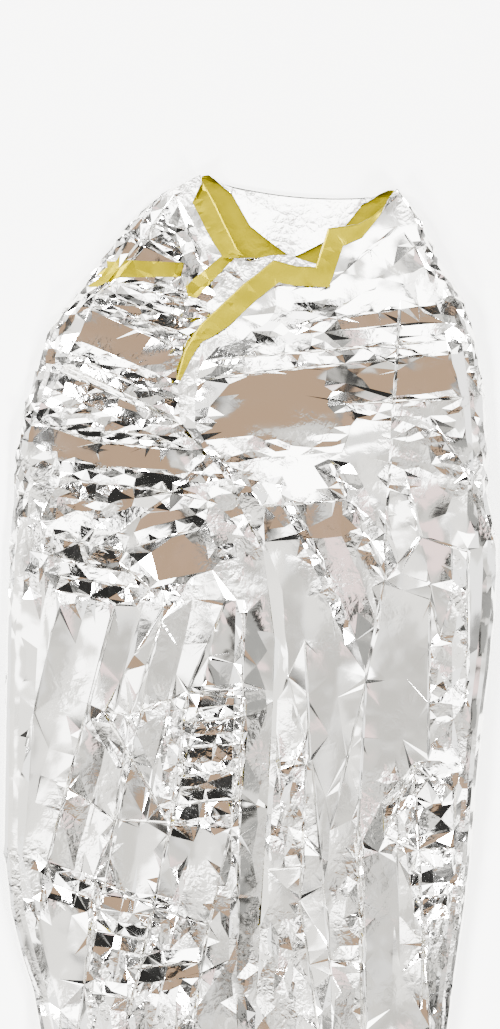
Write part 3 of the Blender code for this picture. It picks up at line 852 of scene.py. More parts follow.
@dataclass
class Sheet:
    """The film's middle surface, as places and triangles with the outer side up.

    Args:
        plan: where the blanket lies.
        folds: main folds.
        crumple: zones and creases.
        rows: rows of the plain parts, from the top edge to the hem.
        first_row_share: height of the first row, as a share of an even one.
        top_step: most distance between columns along a flap's top edge, in mm.
        side_steps: pieces of a rolled side.
        small_steps: pieces of a hidden roll.
        inner_columns: columns of a hidden layer.
        back_step: most distance between the back's columns, as a share of its width.
        turn_radius: radius of the bend of a turned margin, in mm.
        turn_steps: pieces of that bend.
        turned: a full turn of the margin, in radians.
        margin_shares: where the rows of the flat margin lie, as shares of its width.
        margin_waver: how uneven a turned margin's height is, in mm.
        wide_margin: the width over which a margin is uneven, in mm.
        least_margin: width of a plain margin, in mm.
        relief_starts: distance from a turned margin at which the folds begin, in mm.
        relief_grows_over: the length over which they reach their full height, in mm.
        under_flap_fade: the length over which the left flap's folds end under the right flap.
        under_flap_flat: how far from the right flap they end, as a share of that length.
        rim_fade: the length over which the facets' height ends at the flap's edge, in mm.
        collar_jitter: share of the facets' height that is left beside a turned margin.
        side_jitter: how uneven the rolled sides are, in mm.
        side_calmer_at: down where they are smoothest, and how far above it they begin to be.
        side_calm: share of the unevenness that is left there.
        side_low: height under which the sides lie flat, and height over which they are fully
            uneven, less that one.
        side_seed: start of the sides' random numbers.
        margin_seed: the same for the margins.
        left_seed: the same for the left flap's facets.
        right_seed: the same for the right flap's facets.
        thickness: the film's thickness in mm, thicker than the real 0.012 mm, to be seen.
    """

    plan: Plan = field(default_factory=Plan)
    folds: Folds = field(default_factory=Folds)
    crumple: Crumple = field(default_factory=Crumple)
    rows: int = 130
    first_row_share: float = 0.55
    top_step: float = 5.0
    side_steps: int = 9
    small_steps: int = 4
    inner_columns: int = 5
    back_step: float = 0.06
    turn_radius: float = 1.7
    turn_steps: int = 4
    turned: float = math.radians(177.0)
    margin_shares: Triple = (0.33, 0.67, 1.0)
    margin_waver: float = 0.25
    wide_margin: float = 8.0
    least_margin: float = 3.0
    relief_starts: float = 22.0
    relief_grows_over: float = 26.0
    under_flap_fade: float = 34.0
    under_flap_flat: float = 0.3
    rim_fade: float = 8.0
    collar_jitter: float = 0.35
    side_jitter: float = 0.8
    side_calmer_at: tuple[float, float] = (660.0, 120.0)
    side_calm: float = 0.2
    side_low: tuple[float, float] = (1.5, 4.0)
    side_seed: int = 11
    margin_seed: int = 5
    left_seed: int = 101
    right_seed: int = 211
    thickness: float = 0.4

    def row_shares(self) -> np.ndarray:
        """Share of the way from the top edge to the hem, for each row: closer near the collar."""
        even = np.linspace(0.0, 1.0, self.rows)
        return even * (self.first_row_share + (1.0 - self.first_row_share) * even)

    def roll_size(self, down: np.ndarray, start: float) -> np.ndarray:
        """Half width of a rolled side: small at the collar, full size lower down."""
        grown = np.clip((down - start) / self.plan.roll_grows_over, 0.0, 1.0)
        return self.plan.collar_roll + (self.plan.side_roll - self.plan.collar_roll) * grown

    def flap_plan(
        self,
        top: np.ndarray,
        begins_at: Callable[[np.ndarray], np.ndarray],
        ends_at: Callable[[np.ndarray], np.ndarray],
        hem_from: float,
        hem_to: float,
    ) -> tuple[np.ndarray, np.ndarray]:
        """Plan places of a flap.

        Args:
            top: rows of across and down along the flap's top edge.
            begins_at: function of down that gives where the rows begin.
            ends_at: function of down that gives where the rows end.
            hem_from: down of the hem at the first column.
            hem_to: down of the hem at the last column.

        Returns:
            Across and down, rows by columns.
        """
        shares = self.row_shares()
        place = (top[:, 0] - top[0, 0]) / (top[-1, 0] - top[0, 0])
        hem = hem_from + (hem_to - hem_from) * place
        down = top[None, :, 1] + (hem - top[:, 1])[None, :] * shares[:, None]
        begins = begins_at(down[:, 0])
        ends = ends_at(down[:, -1])
        across = begins[:, None] + (ends - begins)[:, None] * place[None, :]
        short, long = self.plan.hem_wave_lengths
        wave = self.plan.hem_wave * np.sin(across / short) * np.sin(across / long)
        return across, down + wave * shares[:, None] ** 4 * np.sin(math.pi * place)[None, :]

    def grown(self, across: np.ndarray, down: np.ndarray, top: Table) -> np.ndarray:
        """From 0 beside a flap's top edge, where its turned margin lies, to 1 further down."""
        line = np.array(top, float)[:, :2]
        away = distance_to_line(np.stack([across, down], axis=-1), line)
        return np.clip((away - self.relief_starts) / self.relief_grows_over, 0.0, 1.0)

    def shown(self, across: np.ndarray, down: np.ndarray) -> np.ndarray:
        """From 1 where the left flap shows to 0 where the right flap covers it."""
        # The right flap's edge over the left one: its slanting collar, then its opening.
        covered = [(row[1], row[0]) for row in self.plan.right_top[10:]]
        covered += [tuple(row) for row in self.plan.opening[1:]]
        edge = across_at(tuple(covered), down)
        away = (edge - across) / self.under_flap_fade
        return np.clip(away - self.under_flap_flat, 0.0, 1.0)

    def left_height(self, across: np.ndarray, down: np.ndarray) -> np.ndarray:
        """Height of the left flap before its crumples."""
        tall = ridges(across, down, self.folds.left, self.folds)
        return tall * self.grown(across, down, self.plan.left_top) * self.shown(across, down)

    def right_height(self, across: np.ndarray, down: np.ndarray) -> np.ndarray:
        """Height of the right flap before its crumples."""
        tall = ridges(across, down, self.folds.right, self.folds)
        return tall * self.grown(across, down, self.plan.right_top)

    def half_round(
        self, start: np.ndarray, end: np.ndarray, reach: np.ndarray | float, steps: int
    ) -> np.ndarray:
        """Columns of a roll between two layers.

        Args:
            start: places of the column before the roll.
            end: places of the column after it.
            reach: how far across it stands out.
            steps: pieces of the roll.

        Returns:
            The columns between, rows by columns by three.
        """
        columns = []
        for step in range(1, steps):
            angle = math.pi * step / steps
            column = start + (end - start) * (1.0 - math.cos(angle)) / 2.0
            column[:, 0] += reach * math.sin(angle)
            columns.append(column)
        return np.stack(columns, axis=1)

    def left_grid(self, left_top: np.ndarray) -> np.ndarray:
        """The left flap's grid, from the hidden fold at the right to the left side."""
        plan = self.plan
        across, down = self.flap_plan(
            left_top,
            lambda y: across_at(plan.left_edge, y) + self.roll_size(y, plan.collar_left_down),
            lambda y: across_at(plan.right_edge, y) - plan.inner_fold_inset,
            plan.hem_left,
            plan.hem_inner,
        )
        return stack(across, down, Layer.LEFT_FLAP.value + self.left_height(across, down))[:, ::-1]

    def right_grid(self, right_top: np.ndarray) -> np.ndarray:
        """The right flap's grid, from the right side to its free edge."""
        plan = self.plan
        across, down = self.flap_plan(
            right_top,
            lambda y: across_at(plan.right_edge, y) - self.roll_size(y, plan.collar_right_down),
            lambda y: across_at(plan.opening, y),
            plan.hem_right,
            plan.hem_opening,
        )
        return stack(across, down, Layer.RIGHT_FLAP.value + self.right_height(across, down))

    def back_grid(self, start: np.ndarray, end: np.ndarray, place: np.ndarray) -> np.ndarray:
        """The back's grid, between the last column of the left flap and the first of the right."""
        dip = self.plan.collar_dip * np.sin(math.pi * place)[None, :]
        across = start[:, :1] + (end[:, :1] - start[:, :1]) * place[None, :]
        down = start[:, 1:2] + (end[:, 1:2] - start[:, 1:2]) * place[None, :]
        down = down + dip * (1.0 - self.row_shares()[:, None])
        return stack(across, down, np.full_like(across, Layer.BACK.value))

    def build_grid(self) -> None:
        """Make the regular grid of the whole sheet, with each column's margin and turn."""
        plan = self.plan
        left_top = finer(plan.left_top, self.top_step)
        right_top = finer(plan.right_top, self.top_step)
        left, right = self.left_grid(left_top), self.right_grid(right_top)
        back_table = np.array(plan.back_top, float)
        place = np.unique(np.concatenate([back_table[:, 0], np.arange(0.0, 1.0, self.back_step)]))
        back = self.back_grid(left[:, -1], right[:, 0], place)
        fold = left[:, 0]
        turn_across = across_at(plan.left_edge, fold[:, 1]) + plan.inner_turn_inset
        inner_return = self.inner_layer(
            fold[:, 0] - 2 * plan.small_roll, turn_across, fold[:, 1], Layer.INNER_RETURN
        )
        inner_turn = self.inner_layer(turn_across, fold[:, 0], fold[:, 1], Layer.INNER_TURN)
        first = self.half_round(
            inner_return[:, -1], inner_turn[:, 0], -plan.small_roll, self.small_steps
        )
        second = self.half_round(inner_turn[:, -1], fold, plan.small_roll, self.small_steps)
        left_reach = -self.roll_size(left[:, -1, 1], plan.collar_left_down)
        right_reach = self.roll_size(right[:, 0, 1], plan.collar_right_down)
        left_roll = self.half_round(left[:, -1], back[:, 0], left_reach, self.side_steps)
        right_roll = self.half_round(back[:, -1], right[:, 0], right_reach, self.side_steps)
        parts = [inner_return, first, inner_turn, second, left, left_roll, back, right_roll, right]
        self.starts = np.cumsum([0] + [part.shape[1] for part in parts])
        self.grid = np.concatenate(parts, axis=1)
        self.shake_sides()
        self.set_margins(left_top, right_top, back_table, place)

    def set_margins(
        self, left_top: np.ndarray, right_top: np.ndarray, back_table: np.ndarray, place: np.ndarray
    ) -> None:
        """Keep each column's margin width and turn, and which columns the plan names.

        Args:
            left_top: the left flap's top edge, a row for each column.
            right_top: the same for the right flap.
            back_table: the back's top edge.
            place: share across of each of the back's columns.
        """
        plan = self.plan
        plain = self.starts[Part.LEFT_FLAP]
        side = self.side_steps - 1
        back_margin = np.interp(place, back_table[:, 0], back_table[:, 1])
        back_turn = np.interp(place, back_table[:, 0], back_table[:, 2])
        side_margin = np.full(side, self.least_margin)
        self.margin = np.concatenate([
            np.full(plain, self.least_margin), left_top[::-1, 2], side_margin,
            back_margin, side_margin, right_top[:, 2],
        ])
        self.turn = self.turned * np.concatenate([
            np.zeros(plain), left_top[::-1, 3], np.zeros(side),
            -back_turn, np.zeros(side), right_top[:, 3],
        ])
        left_named = np.isin(left_top[::-1, 0], np.array(plan.left_top)[:, 0])
        right_named = np.isin(right_top[:, 0], np.array(plan.right_top)[:, 0])
        between = len(self.turn) - plain - len(left_named) - len(right_named)
        self.named = np.nonzero(np.concatenate([
            np.ones(plain, bool), left_named, np.ones(between, bool), right_named,
        ]))[0]

    def inner_layer(
        self, start: np.ndarray, end: np.ndarray, down: np.ndarray, layer: Layer
    ) -> np.ndarray:
        """A hidden flat layer between two edges.

        Args:
            start: across of its first edge, a number for each row.
            end: across of its last edge.
            down: down of the rows.
            layer: which layer it is.

        Returns:
            The layer's grid, rows by columns by three.
        """
        place = np.linspace(0.0, 1.0, self.inner_columns)
        across = start[:, None] + (end - start)[:, None] * place[None, :]
        downs = np.repeat(down[:, None], self.inner_columns, axis=1)
        return stack(across, downs, np.full_like(across, layer.value))

    def shake_sides(self) -> None:
        """Crumple the two rolled sides a little, away from the ground."""
        rng = np.random.default_rng(self.side_seed)
        calm_down, calm_over = self.side_calmer_at
        low, low_over = self.side_low
        for side in (Part.LEFT_SIDE, Part.RIGHT_SIDE):
            part = self.grid[2:, self.columns(side)]
            calmer = np.clip((calm_down - part[..., 1:2]) / calm_over, self.side_calm, 1.0)
            shift = rng.normal(0.0, self.side_jitter, part.shape) * calmer
            shift[..., 2] *= np.clip((part[..., 2] - low) / low_over, 0.0, 1.0)
            part += shift

    def columns(self, part: Part) -> slice:
        """The grid's columns of one part."""
        return slice(self.starts[part], self.starts[part + 1])

    def build(self) -> None:
        """Make the places, triangles and sides of the whole middle surface."""
        self.build_grid()
        room = self.to_room(self.grid)
        rows = self.margin_rows(room)
        margin_count = len(rows)
        whole = np.concatenate([rows, room])
        count = whole.shape[0] * whole.shape[1]
        numbers = np.arange(count).reshape(whole.shape[:2])
        self.places = whole.reshape(-1, 3)
        self.triangles: list[Triangle] = []
        flaps = (self.columns(Part.LEFT_FLAP), self.columns(Part.RIGHT_FLAP))
        for row in range(whole.shape[0] - 1):
            for column in range(whole.shape[1] - 1):
                in_flap = any(flap.start <= column < flap.stop - 1 for flap in flaps)
                if row >= margin_count and in_flap:
                    continue
                a, b = numbers[row, column], numbers[row, column + 1]
                c, d = numbers[row + 1, column + 1], numbers[row + 1, column]
                if (row + column) % 2:
                    self.triangles += [(a, b, c), (a, c, d)]
                else:
                    self.triangles += [(a, b, d), (b, c, d)]
        flap_numbers = numbers[margin_count:]
        self.fill_flap(flap_numbers[:, flaps[0]], self.left_facets(), Layer.LEFT_FLAP)
        self.fill_flap(flap_numbers[:, flaps[1]], self.right_facets(), Layer.RIGHT_FLAP)
        self.drop_unused()
        LOG.info("film: %d places, %d triangles on a side", len(self.places), len(self.triangles))

    def left_facets(self) -> Facets:
        """Facets of the left flap."""
        return Facets(
            self.crumple,
            self.crumple.left_creases,
            self.folds.left,
            self.left_seed,
            self.plan.gold_strips,
        )

    def right_facets(self) -> Facets:
        """Facets of the right flap."""
        creases = self.crumple.right_creases
        return Facets(self.crumple, creases, self.folds.right, self.right_seed)

    def fill_flap(self, numbers: np.ndarray, facets: Facets, layer: Layer) -> None:
        """Fill a flap with facets, joined to the grid round it.

        Args:
            numbers: the grid's place numbers, rows by columns.
            facets: the flap's facets.
            layer: which flap it is.
        """
        loop = np.concatenate([
            numbers[0], numbers[1:, -1], numbers[-1, -2::-1], numbers[-2:0:-1, 0],
        ])
        boundary = self.to_plan(self.places[loop])[:, :2]
        places, triangles, corners = facets.triangulate(boundary)
        across, down = places[:, 0], places[:, 1]
        if layer is Layer.LEFT_FLAP:
            height = self.left_height(across, down)
            top, shown = self.plan.left_top, self.shown(across, down)
        else:
            height = self.right_height(across, down)
            top, shown = self.plan.right_top, np.ones(len(across))
        grown = self.grown(across, down, top)
        rim = np.clip(distance_to_line(places, closed_line(boundary)) / self.rim_fade, 0.0, 1.0)
        panels = facets.panel_heights(across, down) * grown**2 * shown * rim
        jittered = self.collar_jitter + (1.0 - self.collar_jitter) * grown
        fine = facets.jitter(across, down) * jittered * np.clip(rim * 2, 0.0, 1.0)
        grooves = facets.groove_heights(across, down) * grown * shown * rim
        height = layer.value + height + panels + fine + grooves
        first = len(self.places)
        made = self.to_room(stack(across, down, height))
        rename = np.arange(len(made)) + first
        rename[corners] = loop
        self.places = np.vstack([self.places, made])
        for a, b, c in triangles:
            (ax, ay), (bx, by), (cx, cy) = places[a], places[b], places[c]
            clockwise = (bx - ax) * (cy - ay) - (by - ay) * (cx - ax) > 0.0
            ordered = (a, c, b) if clockwise else (a, b, c)
            self.triangles.append(tuple(int(rename[corner]) for corner in ordered))

    def drop_unused(self) -> None:
        """Remove the places that no triangle uses."""
        used = np.unique(np.array(self.triangles))
        renumber = np.full(len(self.places), -1)
        renumber[used] = np.arange(len(used))
        self.places = self.places[used]
        self.triangles = [tuple(int(renumber[c]) for c in face) for face in self.triangles]

    def to_room(self, plan_places: np.ndarray) -> np.ndarray:
        """Plan millimetres to room millimetres, with +Y towards the collar."""
        room = plan_places.copy()
        room[..., 0] = plan_places[..., 0] - self.plan.centre_across
        room[..., 1] = self.plan.centre_down - plan_places[..., 1]
        return room

    def to_plan(self, room: np.ndarray) -> np.ndarray:
        """Room millimetres to plan millimetres."""
        places = room.copy()
        places[..., 0] = room[..., 0] + self.plan.centre_across
        places[..., 1] = self.plan.centre_down - room[..., 1]
        return places

    def evened(self, row: np.ndarray) -> np.ndarray:
        """A row of the margin, straight between the plan's own columns, so that none cross."""
        columns = np.arange(len(row))
        axes = [np.interp(columns, self.named, row[self.named, axis]) for axis in range(3)]
        return np.stack(axes, axis=1)

    def margin_rows(self, room: np.ndarray) -> np.ndarray:
        """Rows above the top edge: round a small radius, then straight for the margin's width."""
        edge = room[0]
        downward = unit(room[1] - room[0])
        along = unit(edge[1:] - edge[:-1])
        face = unit(np.cross(along, downward[:-1] + downward[1:]))
        off = np.cross(along, face)
        first = np.vstack([off[:1], off])
        second = np.vstack([off, off[-1:]])
        mitre = (first + second) / (1.0 + np.sum(first * second, axis=1, keepdims=True))
        plain = self.turn == 0.0
        mitre[plain] = -downward[plain]
        normal = unit(np.vstack([face[:1], face]) + np.vstack([face, face[-1:]]))
        rows = []
        place = edge
        step = self.turn_radius * math.pi / self.turn_steps
        for index in range(self.turn_steps):
            heading = (self.turn * (index + 0.5) / self.turn_steps)[:, None]
            place = self.evened(place + step * (mitre * np.cos(heading) + normal * np.sin(heading)))
            rows.append(place)
        heading = self.turn[:, None]
        ahead = mitre * np.cos(heading) + normal * np.sin(heading)
        rng = np.random.default_rng(self.margin_seed)
        for share in self.margin_shares:
            row = self.evened(place + self.margin[:, None] * share * ahead)
            wide = self.margin > self.wide_margin
            row[:, 2] += rng.normal(0.0, self.margin_waver, len(row)) * wide
            rows.append(row)
        return np.stack(rows[::-1])


@dataclass
class Film:
    """The film as a thin closed sheet with a silver and a gold face.

    Args:
        sheet: the middle surface.
        sharp_over: the angle over which two faces meet in a crease, in radians.
        clearance: least height above the ground, in mm.
        strip_slack: how far under the left flap's rest height a gold strip still counts, in mm.
    """

    sheet: Sheet
    sharp_over: float = math.radians(11.0)
    clearance: float = 0.05
    strip_slack: float = 3.0

    def faces_and_sides(self) -> tuple[np.ndarray, list[Triangle], list[int]]:
        """Places in metres, triangles of both faces and the rim, and each one's side."""
        places = self.sheet.places
        triangles = np.array(self.sheet.triangles)
        corners = places[triangles]
        facing = np.cross(corners[:, 1] - corners[:, 0], corners[:, 2] - corners[:, 0])
        normals = np.zeros_like(places)
        for column in range(3):
            np.add.at(normals, triangles[:, column], unit(facing))
        offset = unit(normals) * self.sheet.thickness / 2
        both = np.concatenate([places + offset, places - offset])
        both[:, 2] = np.maximum(both[:, 2], self.clearance)
        under = len(places)
        centres = self.sheet.to_plan(corners.mean(axis=1))[:, :2]
        on_top = corners[..., 2].mean(axis=1) > Layer.LEFT_FLAP.value - self.strip_slack
        gold = np.zeros(len(triangles), bool)
        for loop in self.sheet.plan.gold_strips:
            gold |= inside_loop(centres, np.array(loop, float)) & on_top & (facing[:, 2] > 0)
        faces = [tuple(face) for face in triangles.tolist()]
        sides = [Side.GOLD.value if is_gold else Side.SILVER.value for is_gold in gold]
        faces += [(a + under, c + under, b + under) for a, b, c in triangles.tolist()]
        sides += [Side.GOLD.value] * len(triangles)
        for a, b in self.open_edges(triangles):
            faces += [(b, a, a + under), (b, a + under, b + under)]
            sides += [Side.SILVER.value] * 2
        return both * MM, faces, sides

    def mark_crinkle(self, mesh: bpy.types.Mesh, places: np.ndarray) -> None:
        """Store how finely each place is crinkled, from 0 to 1, for the material to read."""
        plan = self.sheet.to_plan(places / MM)
        crumple, folds = self.sheet.crumple, self.sheet.folds
        on_left = plan[:, 0] < across_at(self.sheet.plan.opening, plan[:, 1])
        amount = np.where(
            on_left,
            crumple.crinkle_at(plan[:, 0], plan[:, 1], folds.left),
            crumple.crinkle_at(plan[:, 0], plan[:, 1], folds.right),
        )
        layer = mesh.attributes.new("crinkle", "FLOAT", "POINT")
        layer.data.foreach_set("value", amount.astype(np.float32))

    @staticmethod
    def open_edges(triangles: np.ndarray) -> list[tuple[int, int]]:
        """Edges of one triangle only, in that triangle's order."""
        ends = np.concatenate([triangles[:, [0, 1]], triangles[:, [1, 2]], triangles[:, [2, 0]]])
        known = {tuple(edge) for edge in ends.tolist()}
        return [edge for edge in known if (edge[1], edge[0]) not in known]

    def build(self, materials: list[bpy.types.Material]) -> bpy.types.Object:
        """Make the object.

        Args:
            materials: the silver and the gold material.

        Returns:
            The film's object.
        """
        places, faces, sides = self.faces_and_sides()
        mesh = bpy.data.meshes.new("crumpled_film")
        mesh.from_pydata([tuple(place) for place in places], [], faces)
        for material in materials:
            mesh.materials.append(material)
        mesh.polygons.foreach_set("material_index", sides)
        self.mark_crinkle(mesh, places)
        mesh.update()
        mesh.polygons.foreach_set("use_smooth", np.ones(len(mesh.polygons), bool))
        mesh.set_sharp_from_angle(angle=self.sharp_over)
        film = bpy.data.objects.new("crumpled_film", mesh)
        bpy.context.scene.collection.objects.link(film)
        LOG.info("crumpled_film: %d faces in all", len(faces))
        return film


def linear(hex_colour: str) -> tuple[float, float, float, float]:
    """Linear colour of an sRGB hex colour."""
    parts = [int(hex_colour[i : i + 2], 16) / 255.0 for i in (1, 3, 5)]
    made = [p / 12.92 if p <= 0.04045 else ((p + 0.055) / 1.055) ** 2.4 for p in parts]
    return (*made, 1.0)


def add_node(
    tree: bpy.types.NodeTree,
    kind: str,
    settings: dict[str | int, object] | None = None,
    links: dict[str | int, bpy.types.NodeSocket] | None = None,
) -> bpy.types.Node:
    """Add a node with its settings and links.

    Args:
        tree: the material's or world's node tree.
        kind: the node's type.
        settings: the node's own settings by name, in small letters, and values of its inputs by
            their name, which starts with a capital, or by their number.
        links: output sockets by the name or number of the input that each goes to.

    Returns:
        The node.
    """
    node = tree.nodes.new(kind)
    for name, value in (settings or {}).items():
        if isinstance(name, int) or name[0].isupper():
            node.inputs[name].default_value = value
        else:
            setattr(node, name, value)
    for name, socket in (links or {}).items():
        tree.links.new(socket, node.inputs[name])
    return node


def noise(
    tree: bpy.types.NodeTree, place: bpy.types.NodeSocket, size_mm: float, detail: float
) -> bpy.types.Node:
    """Add soft random waves of a real size."""
    settings = {"Scale": 1.0 / (size_mm * MM), "Detail": detail}
    return add_node(tree, "ShaderNodeTexNoise", settings, {"Vector": place})


@dataclass(frozen=True)
class MetallisedFilm:
    """Polyester film with a vacuum-deposited metal layer, crumpled by hand.

    The metal layer mirrors whatever is round it, so each flat facet takes one tone. Sharp small
    facets and fine creases break that up, and a little haze from handling softens it.

    Args:
        name: the material's name.
        colour: sRGB hex colour of the metal as seen.
        roughness: haze of the smooth places.
        haze: further haze in the worn places.
        facet_mm: size of the small facets, which is the real size of the photo's crinkles.
        speck_mm: size of the finest crinkles. It is coarser than the real 0.5 mm, which the render
            can't show.
        facet_depth_mm: height of the small facets.
        speck_depth_mm: height of the finest crinkles.
        warp_mm: size of the waves that bend the crinkles' pattern.
        warp_by_mm: how far they bend it.
        wear_mm: size of the handled places.
        sag_mm: size of the soft dents in smooth film.
        sag_depth_mm: depth of those dents.
        smooth_below: handling at which crinkles start to show, from 0 to 1.
        full_above: handling at which they are full.
        least_crinkled: share of the crinkles' height in the smooth places.
        zone_counts: how much a crinkled zone adds to the handling.
    """

    name: str
    colour: str
    roughness: float
    haze: float
    facet_mm: float
    speck_mm: float
    facet_depth_mm: float
    speck_depth_mm: float
    warp_mm: float = 28.57
    warp_by_mm: float = 12.0
    wear_mm: float = 71.43
    sag_mm: float = 45.45
    sag_depth_mm: float = 1.6
    smooth_below: float = 0.54
    full_above: float = 1.2
    least_crinkled: float = 0.02
    zone_counts: float = 0.6

    def build(self) -> bpy.types.Material:
        """Make the material: soft dents, small facets and specks, each on top of the last."""
        material = bpy.data.materials.new(self.name)
        material.use_nodes = True
        tree = material.node_tree
        shader = tree.nodes["Principled BSDF"]
        shader.inputs["Base Color"].default_value = linear(self.colour)
        shader.inputs["Metallic"].default_value = 1.0
        place = add_node(tree, "ShaderNodeTexCoord").outputs["Object"]
        warp = noise(tree, place, self.warp_mm, 2.0)
        bent = add_node(
            tree,
            "ShaderNodeVectorMath",
            {"operation": "MULTIPLY_ADD", 1: (self.warp_by_mm * MM,) * 3},
            {0: warp.outputs["Color"], 2: place},
        )
        wear = noise(tree, place, self.wear_mm, 4.0)
        shown = self.handled(tree, wear.outputs["Fac"])
        sag = noise(tree, place, self.sag_mm, 1.5)
        normal = self.bump(tree, sag.outputs["Fac"], self.sag_depth_mm)
        for size_mm, depth_mm in (
            (self.facet_mm, self.facet_depth_mm), (self.speck_mm, self.speck_depth_mm),
        ):
            height = self.crinkle(tree, bent.outputs["Vector"], size_mm, shown)
            normal = self.bump(tree, height, depth_mm, normal)
        tree.links.new(normal, shader.inputs["Normal"])
        haze = add_node(
            tree,
            "ShaderNodeMapRange",
            {"To Min": self.roughness, "To Max": self.roughness + self.haze},
            {"Value": wear.outputs["Fac"]},
        )
        tree.links.new(haze.outputs["Result"], shader.inputs["Roughness"])
        return material

    def handled(
        self, tree: bpy.types.NodeTree, wear: bpy.types.NodeSocket
    ) -> bpy.types.NodeSocket:
        """Share of the crinkles' height that shows: more in crinkled zones and handled places."""
        zone = add_node(tree, "ShaderNodeAttribute", {"attribute_name": "crinkle"})
        worn = add_node(
            tree,
            "ShaderNodeMath",
            {"operation": "MULTIPLY_ADD", 1: self.zone_counts},
            {0: zone.outputs["Fac"], 2: wear},
        )
        shown = add_node(
            tree,
            "ShaderNodeMapRange",
            {
                "From Min": self.smooth_below,
                "From Max": self.full_above,
                "To Min": self.least_crinkled,
            },
            {"Value": worn.outputs[0]},
        )
        return shown.outputs["Result"]

    @staticmethod
    def crinkle(
        tree: bpy.types.NodeTree,
        place: bpy.types.NodeSocket,
        size_mm: float,
        shown: bpy.types.NodeSocket,
    ) -> bpy.types.NodeSocket:
        """Height of small flat facets: the distance to the nearest edge between random cells.

        Args:
            tree: the material's node tree.
            place: where on the film, in metres.
            size_mm: size of a cell.
            shown: share of the height that shows.

        Returns:
            The height.
        """
        cells = add_node(
            tree,
            "ShaderNodeTexVoronoi",
            {"feature": "DISTANCE_TO_EDGE", "Scale": 1.0 / (size_mm * MM), "Randomness": 1.0},
            {"Vector": place},
        )
        height = add_node(
            tree,
            "ShaderNodeMath",
            {"operation": "MULTIPLY"},
            {0: cells.outputs["Distance"], 1: shown},
        )
        return height.outputs[0]

    @staticmethod
    def bump(
        tree: bpy.types.NodeTree,
        height: bpy.types.NodeSocket,
        depth_mm: float,
        normal: bpy.types.NodeSocket | None = None,
    ) -> bpy.types.NodeSocket:
        """Bend the surface by a height, on top of an earlier bend where one is given."""
        links = {"Height": height} if normal is None else {"Height": height, "Normal": normal}
        settings = {"Strength": 1.0, "Distance": depth_mm * MM}
        return add_node(tree, "ShaderNodeBump", settings, links).outputs["Normal"]


@dataclass(frozen=True)
class Patch:
    """A round patch of one shade in the surroundings, for the film to mirror.

    A facet that tilts by some angle mirrors what lies twice that angle off the vertical, on the
    side to which it tilts. So each patch gives its shade to the facets of one tilt.

    Args:
        turn: its direction round the vertical, in degrees from +X towards +Y.
        off: its angle from straight up, in degrees.
        radius: its half angle, in degrees.
        edge: width of its soft edge, in degrees.
        shade: its linear colour.
    """

    turn: float
    off: float
    radius: float
    edge: float
    shade: Triple

    def axis(self) -> Triple:
        """The direction of its middle."""
        off, turn = math.radians(self.off), math.radians(self.turn)
        return math.sin(off) * math.cos(turn), math.sin(off) * math.sin(turn), math.cos(off)


